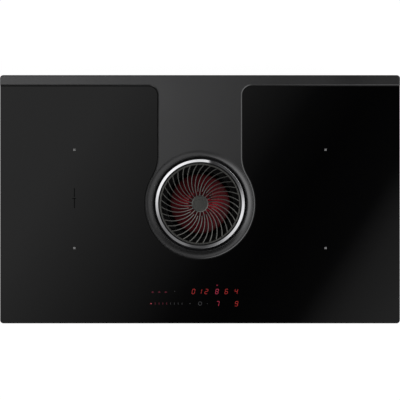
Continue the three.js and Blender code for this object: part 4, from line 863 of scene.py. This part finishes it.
# Flow deflector: a spun steel bell in glossy red enamel that turns the air outwards over the filter.
# Its boss is screwed on the post of the basket.
bell_radius = 62.5 * MM
bell_crown = 24 * MM
bell_fall = 12 * MM
bell_wall = 2 * MM
bell_inner = bell_radius - bell_wall
bell_high = rim_low - 2 * MM
bell_edge = bell_high - bell_fall
boss_radius = 9 * MM
bell = turned("flow_deflector_spun", 0, intake_y, [
    (boss_radius, bell_high - 8 * MM),
    (boss_radius, bell_high - bell_wall),
    (bell_crown - 1 * MM, bell_high - bell_wall),
    (bell_radius - 5 * MM, bell_edge - bell_wall),
    (bell_inner, bell_edge - 5 * MM),
    (bell_inner, bell_edge - 7.6 * MM),
    (bell_inner + 0.4 * MM, bell_edge - 8 * MM),
    (bell_radius - 0.4 * MM, bell_edge - 8 * MM),
    (bell_radius, bell_edge - 7.6 * MM),
    (bell_radius, bell_edge - 3.4 * MM),
    (bell_radius - 0.3 * MM, bell_edge - 2.2 * MM),
    (bell_radius - 1.4 * MM, bell_edge - 0.7 * MM),
    (bell_radius - 3 * MM, bell_edge + 0.15 * MM),
    (bell_radius - 12 * MM, bell_edge + 3.1 * MM),
    (bell_crown + 14 * MM, bell_high - 4.2 * MM),
    (bell_crown + 5 * MM, bell_high - 1.35 * MM),
    (bell_crown + 1.5 * MM, bell_high - 0.35 * MM),
    (bell_crown - 3 * MM, bell_high),
    (2 * MM, bell_high),
], closed=False)
smooth_piece(bell, 40)
enamel_red = Vector((0.62, 0.026, 0.045))
red_enamel, tree, shader = principled(
    "red_enamel", enamel_red, {"Coat Weight": 0.05, "Coat Roughness": 0.2, "Specular IOR Level": 0.2})
# The enamel is painted darker towards the rim of the bell and a touch darker at its crown under the hub:
# painted shade from the vanes and the well.
outward = maths(tree, "DIVIDE", axis_distance(tree, own_place(tree)), bell_radius, clamp=True)
painted_shade_tone = ramp(tree, outward, [
    (share, tuple(enamel_red * strength))
    for share, strength in ((0.30, 0.55), (0.46, 0.60), (0.62, 0.35), (0.80, 0.18), (0.97, 0.07))])
set_inputs(tree, shader, {"Base Color": painted_shade_tone})
grained(tree, shader, 22, 900, 0.26, 0.38, 0.05, 0.02 * MM)
fit(bell, red_enamel, "filter", "flow_deflector")


# Zone marks: a small light cross is fired on the glass over the middle of each of the four coils.
mark_high = glass_high + 0.05 * MM
zone_x = half_width - 154.4 * MM
zone_middle_y = 0.9 * MM
zone_pitch = 204 * MM
cross_length = 5.4 * MM
cross_width = 1.5 * MM


def printed_bar(x, y, length, width):
    """A bar of print on the glass with its middle at x and y, its length along X."""
    low = (x - length / 2, y - width / 2, glass_high)
    return slab("printed_bar", low, (x + length / 2, y + width / 2, mark_high))


def is_upright(mesh, edge):
    span = mesh.vertices[edge.vertices[0]].co - mesh.vertices[edge.vertices[1]].co
    return span.xy.length < same_spot


def round_upright_edges(piece, radius, segments):
    start_piece(piece)
    choose("edges", lambda edge: is_upright(piece.data, edge))
    bpy.ops.mesh.select_mode(type="EDGE")
    bpy.ops.mesh.bevel(offset=radius, segments=segments, affect="EDGES")
    end_piece()


def print_finish(name, colour, low, high, values=None):
    """Matt ceramic print with a very fine grain."""
    finish, tree, shader = principled(name, colour, values)
    grained(tree, shader, 200, 4000, low, high, 0.1, 0.01 * MM)
    return finish


marks = []
for side in (-1, 1):
    for row in (-1, 1):
        x = side * zone_x
        y = zone_middle_y + row * zone_pitch / 2
        for slant in (-1, 1):
            bar = printed_bar(x, y, cross_length, cross_width)
            turn_piece(bar, -slant * math.pi / 4, x, y)
            marks.append(bar)
zone_marks = join_pieces("zone_marks", marks)
round_upright_edges(zone_marks, 0.5 * MM, segments=4)
fit(zone_marks, print_finish("zone_print", (0.42, 0.42, 0.42), 0.45, 0.55), "root")


# Bridge mark: a thin matt line between the two left zones with a tick in its middle, printed dark.
bridge_half = 20.6 * MM
bridge_middle = 2.4 * MM
bridge_ends = ((-bridge_half, -0.6 * MM), (2.6 * MM, bridge_half))
bridge_width = 2.0 * MM
bridge_tick = 7.6 * MM
tick_offset = 0.6 * MM
bars = [
    printed_bar(-zone_x, bridge_middle + (low + high) / 2, bridge_width, high - low)
    for low, high in bridge_ends]
bars.append(printed_bar(-zone_x - tick_offset, bridge_middle - tick_offset, bridge_tick, bridge_width))
bridge = join_pieces("bridge_mark", bars)
round_upright_edges(bridge, 0.4 * MM, segments=3)
bridge_print = print_finish("bridge_print", (0.003, 0.003, 0.003), 0.55, 0.65, {"Specular IOR Level": 0.1})
fit(bridge, bridge_print, "root")


# Display: slanted seven-segment digits that shine red through the glass, in two rows at the front.
row_y = 53.6 * MM - hob_back
row_offset = 12.7 * MM
digit_height = 10.6 * MM
digit_width = 6.3 * MM
stroke = 0.95 * MM
stroke_gap = 0.25 * MM
stroke_point = 0.42 * stroke
digit_lean = math.tan(math.radians(12))
glow_scale = 700
glow_dip = 0.65
segments_of = {
    "0": "abcdef", "1": "bc", "2": "abged", "4": "fgbc",
    "6": "afgedc", "7": "abc", "8": "abcdefg", "9": "abcdfg",
}


def segment(x, y, start, end):
    """One lit bar with pointed ends between two points of a digit, which leans to the right."""
    run = end[0] - start[0] + (end[1] - start[1]) * digit_lean
    climb = end[1] - start[1]
    up = (start[1] + end[1]) / 2
    middle_x = x + (start[0] + end[0]) / 2 + up * digit_lean
    bar = printed_bar(middle_x, y + up, math.hypot(run, climb) - 2 * stroke_gap, stroke)
    round_upright_edges(bar, stroke_point, segments=1)
    turn_piece(bar, math.atan2(climb, run), middle_x, y + up)
    return bar


def digit(character, x, y):
    right, top = (digit_width - stroke) / 2, (digit_height - stroke) / 2
    ends = {
        "a": ((-right, top), (right, top)),
        "b": ((right, top), (right, 0)),
        "c": ((right, 0), (right, -top)),
        "d": ((-right, -top), (right, -top)),
        "e": ((-right, 0), (-right, -top)),
        "f": ((-right, top), (-right, 0)),
        "g": ((-right, 0), (right, 0)),
    }
    return [segment(x, y, *ends[letter]) for letter in segments_of[character]]


def lit(name, colour, strength):
    """Light seen through printed glass: an even glow, a little patchy as a diffuser is."""
    values = {"Roughness": 0.12, "Emission Strength": strength}
    finish, tree, shader = principled(name, (0.01, 0.004, 0.004), values)
    cloud = add_node(tree, "TexNoise", {"Vector": own_place(tree), "Scale": glow_scale})
    dim = tuple(glow_dip * channel for channel in colour)
    glow = ramp(tree, cloud.outputs["Fac"], [(0.3, dim), (0.7, colour)])
    set_inputs(tree, shader, {"Emission Color": glow})
    return finish


def dot(x, y, radius):
    return disc("dot", x, y, radius, glass_high, mark_high, steps=20)


bars = []
for character, x in (("0", -13.5), ("1", 0.4), ("2", 13.3), ("6", 54.8), ("4", 75.0)):
    bars += digit(character, x * MM, row_y + row_offset)
bars += digit("9", 75.6 * MM, row_y - row_offset)
fit(join_pieces("display_digits", bars), lit("lit_red", (1.0, 0.075, 0.07), 0.4), "root")

# Two digits and the small dot over one of them shine pink and dimmer.
bars = digit("8", 35.2 * MM, row_y + row_offset) + digit("7", 36.6 * MM, row_y - row_offset)
bars.append(dot(35.4 * MM, row_y + 25.6 * MM, 0.9 * MM))
pink_digits = join_pieces("display_digits_pink", bars)
fit(pink_digits, lit("lit_pink", (0.62, 0.055, 0.11), 0.7), "root")


# Touch keys: three dim red symbols and a faint one on the left, the slider's red dot and eight ticks,
# and the grey ring of the power key with a dot on each side. All are printed or shine through the glass.
key_y = row_y + row_offset
key_places = (-98.2 * MM, -84.6 * MM, -71.0 * MM)
arm_length = 3.2 * MM
arm_width = 0.9 * MM
arm_slant = 0.7
foot_drop = 2.2 * MM
slider_y = row_y - row_offset + 0.3 * MM
slider_dot_x = -101.6 * MM
tick_start = -93.0 * MM
tick_pitch = 7.95 * MM
tick_height = 4.4 * MM
tick_width = 0.8 * MM
power_radius = 3.5 * MM
power_stroke = 1.0 * MM


def ticks(first, last):
    """Ticks of the slider, from one number up to another."""
    return [
        printed_bar(tick_start + index * tick_pitch, slider_y, tick_width, tick_height)
        for index in range(first, last)]


symbols = []
for x in key_places:
    for side in (-1, 1):
        arm = printed_bar(x + side * arm_length / 2, key_y, arm_length, arm_width)
        turn_piece(arm, -side * arm_slant, x, key_y)
        symbols.append(arm)
    symbols.append(dot(x, key_y - foot_drop, 0.7 * MM))
dim_symbols = join_pieces("touch_symbols", symbols + ticks(0, 4))
fit(dim_symbols, lit("lit_dim_red", (0.26, 0.030, 0.060), 0.5), "root")

slider_dot = disc("slider_dot", slider_dot_x, slider_y, 1.25 * MM, glass_high, mark_high, steps=32)
facet_rim(slider_dot, mark_high, 0.02 * MM, segments=1)
fit(slider_dot, lit("lit_pink_red", (0.85, 0.12, 0.17), 0.5), "root")

power_outer = power_radius + power_stroke / 2
power_inner = power_radius - power_stroke / 2
prints = ticks(4, 8)
prints.append(turned("power_key", 0, slider_y, [
    (power_inner, glass_high),
    (power_outer, glass_high),
    (power_outer, mark_high),
    (power_inner, mark_high),
], steps=48))
prints += [
    dot(-20.8 * MM, slider_y, 1.0 * MM),
    dot(15.0 * MM, slider_y, 0.7 * MM),
    dot(-52.5 * MM, key_y + 0.4 * MM, 0.8 * MM),
]
touch_print = print_finish("touch_print", (0.045, 0.045, 0.048), 0.45, 0.6)
fit(join_pieces("touch_print", prints), touch_print, "root")


# Filter basket: turned and pressed from steel, with windows round the filter, a closed drip cup below
# them and the post that carries the deflector. Its near-black is painted shade for the dark well under the
# grille, not the steel's own colour. It hangs by its rim in the liner.
bodies = frame["record"]["behaviour"]["bodies"]
owner_of = {node: body for body, owned in bodies.items() for node in owned}
slot_of = {part["node"]: part["material_slot"] for part in frame["record"]["subparts"]}


def dressed(node, finish, rounding, degrees=32):
    """Copies a CAD node, merges its facets, rounds its edges, and gives it its finish and its body."""
    piece = bpy.data.objects.new(node + "_dressed", frame["nodes"][node].data.copy())
    scene.collection.objects.link(piece)
    piece.data.materials.clear()
    pick(piece)
    bpy.ops.mesh.customdata_custom_splitnormals_clear()
    bpy.ops.object.mode_set(mode="EDIT")
    bpy.ops.mesh.select_all(action="SELECT")
    bpy.ops.mesh.remove_doubles(threshold=2 * same_spot)
    bpy.ops.mesh.dissolve_limited(angle_limit=math.radians(0.5))
    end_piece()
    soften(piece, rounding, degrees=degrees)
    smooth_piece(piece, degrees)
    fit(piece, finish, owner_of[node], node)


# A near-black, painted shade for the parts deep in the well under the grille.
black_enamel, tree, shader = principled(
    "black_enamel", (0.004, 0.004, 0.004), {"Specular IOR Level": 0.15})
grained(tree, shader, 24, 1100, 0.40, 0.55, 0.08, 0.02 * MM)
dressed("filter_basket", black_enamel, 0.35 * MM)


# Grease filter: a drum of knitted aluminium mesh that stands in the basket. The knit is a fine lattice
# of raised wires, with the gaps between them dark.
filter_mesh, tree, shader = principled("filter_mesh", (0.5, 0.5, 0.5), {"Metallic": 0.9, "Roughness": 0.4})
lattice_inputs = {"Vector": own_place(tree), "Scale": 420}
lattice = add_node(tree, "TexVoronoi", lattice_inputs, feature="DISTANCE_TO_EDGE")
wires = add_node(tree, "MapRange", {
    "Value": lattice.outputs["Distance"], "From Max": 0.18, "To Min": 1, "To Max": 0}).outputs["Result"]
relief = add_node(tree, "Bump", {"Strength": 0.6, "Distance": 0.4 * MM, "Height": wires})
set_inputs(tree, shader, {
    "Base Color": ramp(tree, wires, [(0, 0.03), (1, (0.6, 0.6, 0.61))]),
    "Normal": relief.outputs["Normal"],
})
dressed("grease_filter", filter_mesh, 0.6 * MM)

# A thin ring caps the drum and keeps the knit from fraying; its near-black is painted shade, as on the
# basket.
filter_wall = 4 * MM
filter_low, filter_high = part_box("grease_filter")
cap_outer = (filter_high.x - filter_low.x) / 2 - 0.2 * MM
cap_inner = cap_outer + 0.1 * MM - filter_wall
cap_high = filter_high.z + 1.2 * MM
cap_low = filter_high.z + 0.05 * MM
cap_foot = filter_high.z - 2 * MM
filter_cap = turned("filter_cap", 0, intake_y, [
    (cap_inner - 0.3 * MM, cap_foot),
    (cap_inner - 0.3 * MM, cap_high - 0.3 * MM),
    (cap_inner, cap_high),
    (cap_outer - 0.3 * MM, cap_high),
    (cap_outer, cap_high - 0.3 * MM),
    (cap_outer, cap_low),
    (cap_inner, cap_low),
    (cap_inner, cap_foot),
])
smooth_piece(filter_cap, 30)
fit(filter_cap, black_enamel, "filter")


# Mouldings: the liner of the well, the extractor's housing, the duct collar, the tray, the wheel and the
# terminal box are injection-moulded in black plastic with a fine sparked texture.
moulding, tree, shader = principled("moulding", (0.014, 0.014, 0.015), {"Specular IOR Level": 0.3})
grained(tree, shader, 14, 1400, 0.42, 0.58, 0.35, 0.06 * MM)
for node in (
    "well_liner", "housing_upper", "housing_lower", "divider_plate", "duct_collar", "liquid_tray",
    "impeller", "terminal_box", "terminal_cover", "cable_gland", "touch_carrier",
    "fan_frame_left", "fan_frame_right", "fan_rotor_left", "fan_rotor_right",
):
    dressed(node, moulding, 0.4 * MM)


# Seals: the foam strip under the rim and the soft ring between liner and housing.
soft_seal, tree, shader = principled("soft_seal", (0.012, 0.012, 0.012))
grained(tree, shader, 60, 2200, 0.8, 0.95, 0.6, 0.12 * MM)
for node in ("worktop_seal", "well_gasket"):
    dressed(node, soft_seal, 0.4 * MM)


# Sheet steel: the pan, the frame under the glass, the middle channel, the clamps' claws and the motor's
# case. Zinc-plated, with the cloudy spangle of the coat.
def flecked(tree, shader, scale, dark, light):
    """Tints a shader between two colours in flecks, as spangle or pressed flakes do."""
    flecks = add_node(tree, "TexVoronoi", {"Vector": own_place(tree), "Scale": scale})
    set_inputs(tree, shader, {"Base Color": ramp(tree, flecks.outputs["Distance"], [(0, dark), (1, light)])})


zinc_sheet, tree, shader = principled("zinc_sheet", (0.42, 0.43, 0.44), {"Metallic": 0.9})
flecked(tree, shader, 90, (0.36, 0.37, 0.38), (0.50, 0.51, 0.52))
grained(tree, shader, 40, 900, 0.38, 0.55, 0.1, 0.03 * MM)
for node in ("base_pan", "glass_frame", "centre_frame"):
    dressed(node, zinc_sheet, 0.25 * MM)
for node in slot_of:
    if node.startswith(("clamp_claw", "blower_motor")):
        dressed(node, zinc_sheet, 0.2 * MM)


# Turned stainless steel: the long screws of the clamps, the blower's shaft and the pin of the flap.
stainless, tree, shader = principled("stainless", (0.42, 0.42, 0.43), {"Metallic": 1})
brushed(tree, shader, 0.22, 0.38, 0.12, 2200, 30)
for node in slot_of:
    if node.startswith(("clamp_screw", "flap_pin", "motor_shaft")):
        dressed(node, stainless, 0.2 * MM)


# Aluminium: the plates over the electronics, the coils' carriers with their ferrite bars and the
# extruded heat sinks, brushed along X.
aluminium, tree, shader = principled("aluminium", (0.62, 0.62, 0.63), {"Metallic": 1})
brushed(tree, shader, 0.32, 0.5, 0.15, 1500, 25)
for node in slot_of:
    if node.startswith(("coil_tray", "coil_base", "heat_sink")):
        dressed(node, aluminium, 0.25 * MM)


# Coils: flat windings of litz wire, whose turns show as fine rings round the middle of each zone.
for side_name, side in (("left", -1), ("right", 1)):
    for row_name, row in (("front", -1), ("rear", 1)):
        place_name = row_name + "_" + side_name
        litz, tree, shader = principled("litz_" + place_name, (0.42, 0.17, 0.06), {"Metallic": 0.5})
        coil_middle = (side * zone_x, zone_middle_y + row * zone_pitch / 2)
        brushed(tree, shader, 0.35, 0.5, 1.0, 700, 2, centre=coil_middle)
        dressed("coil_winding_" + place_name, litz, 0.8 * MM)


# Pale moulded plastic: the display's light guide, the terminal block and the flap in the outlet.
light_plastic, tree, shader = principled("light_plastic", (0.62, 0.62, 0.60))
grained(tree, shader, 20, 1200, 0.42, 0.55, 0.2, 0.04 * MM)
for node in ("display_guide", "outlet_flap", "terminal_block"):
    dressed(node, light_plastic, 0.3 * MM)


# Mica sheets between coils and glass: pressed flakes, pale and cloudy.
mica, tree, shader = principled("mica", (0.6, 0.55, 0.45))
flecked(tree, shader, 300, (0.50, 0.45, 0.36), (0.68, 0.63, 0.53))
grained(tree, shader, 30, 700, 0.5, 0.7, 0.2, 0.04 * MM)
for node in ("mica_sheet_left", "mica_sheet_right"):
    dressed(node, mica, 0.15 * MM)


# Circuit boards of the power stages and the touch control: green solder resist with fine tracks.
board, tree, shader = principled("circuit_board", (0.02, 0.12, 0.04))
tracks = add_node(tree, "TexBrick", {
    "Vector": own_place(tree),
    "Scale": 60,
    "Color1": (0.012, 0.09, 0.03, 1),
    "Color2": (0.02, 0.12, 0.04, 1),
    "Mortar": (0.05, 0.22, 0.08, 1),
})
set_inputs(tree, shader, {"Base Color": tracks.outputs["Color"]})
grained(tree, shader, 50, 1500, 0.28, 0.42, 0.1, 0.03 * MM)
for node in ("power_board_left", "power_board_right", "touch_board"):
    dressed(node, board, 0.25 * MM)
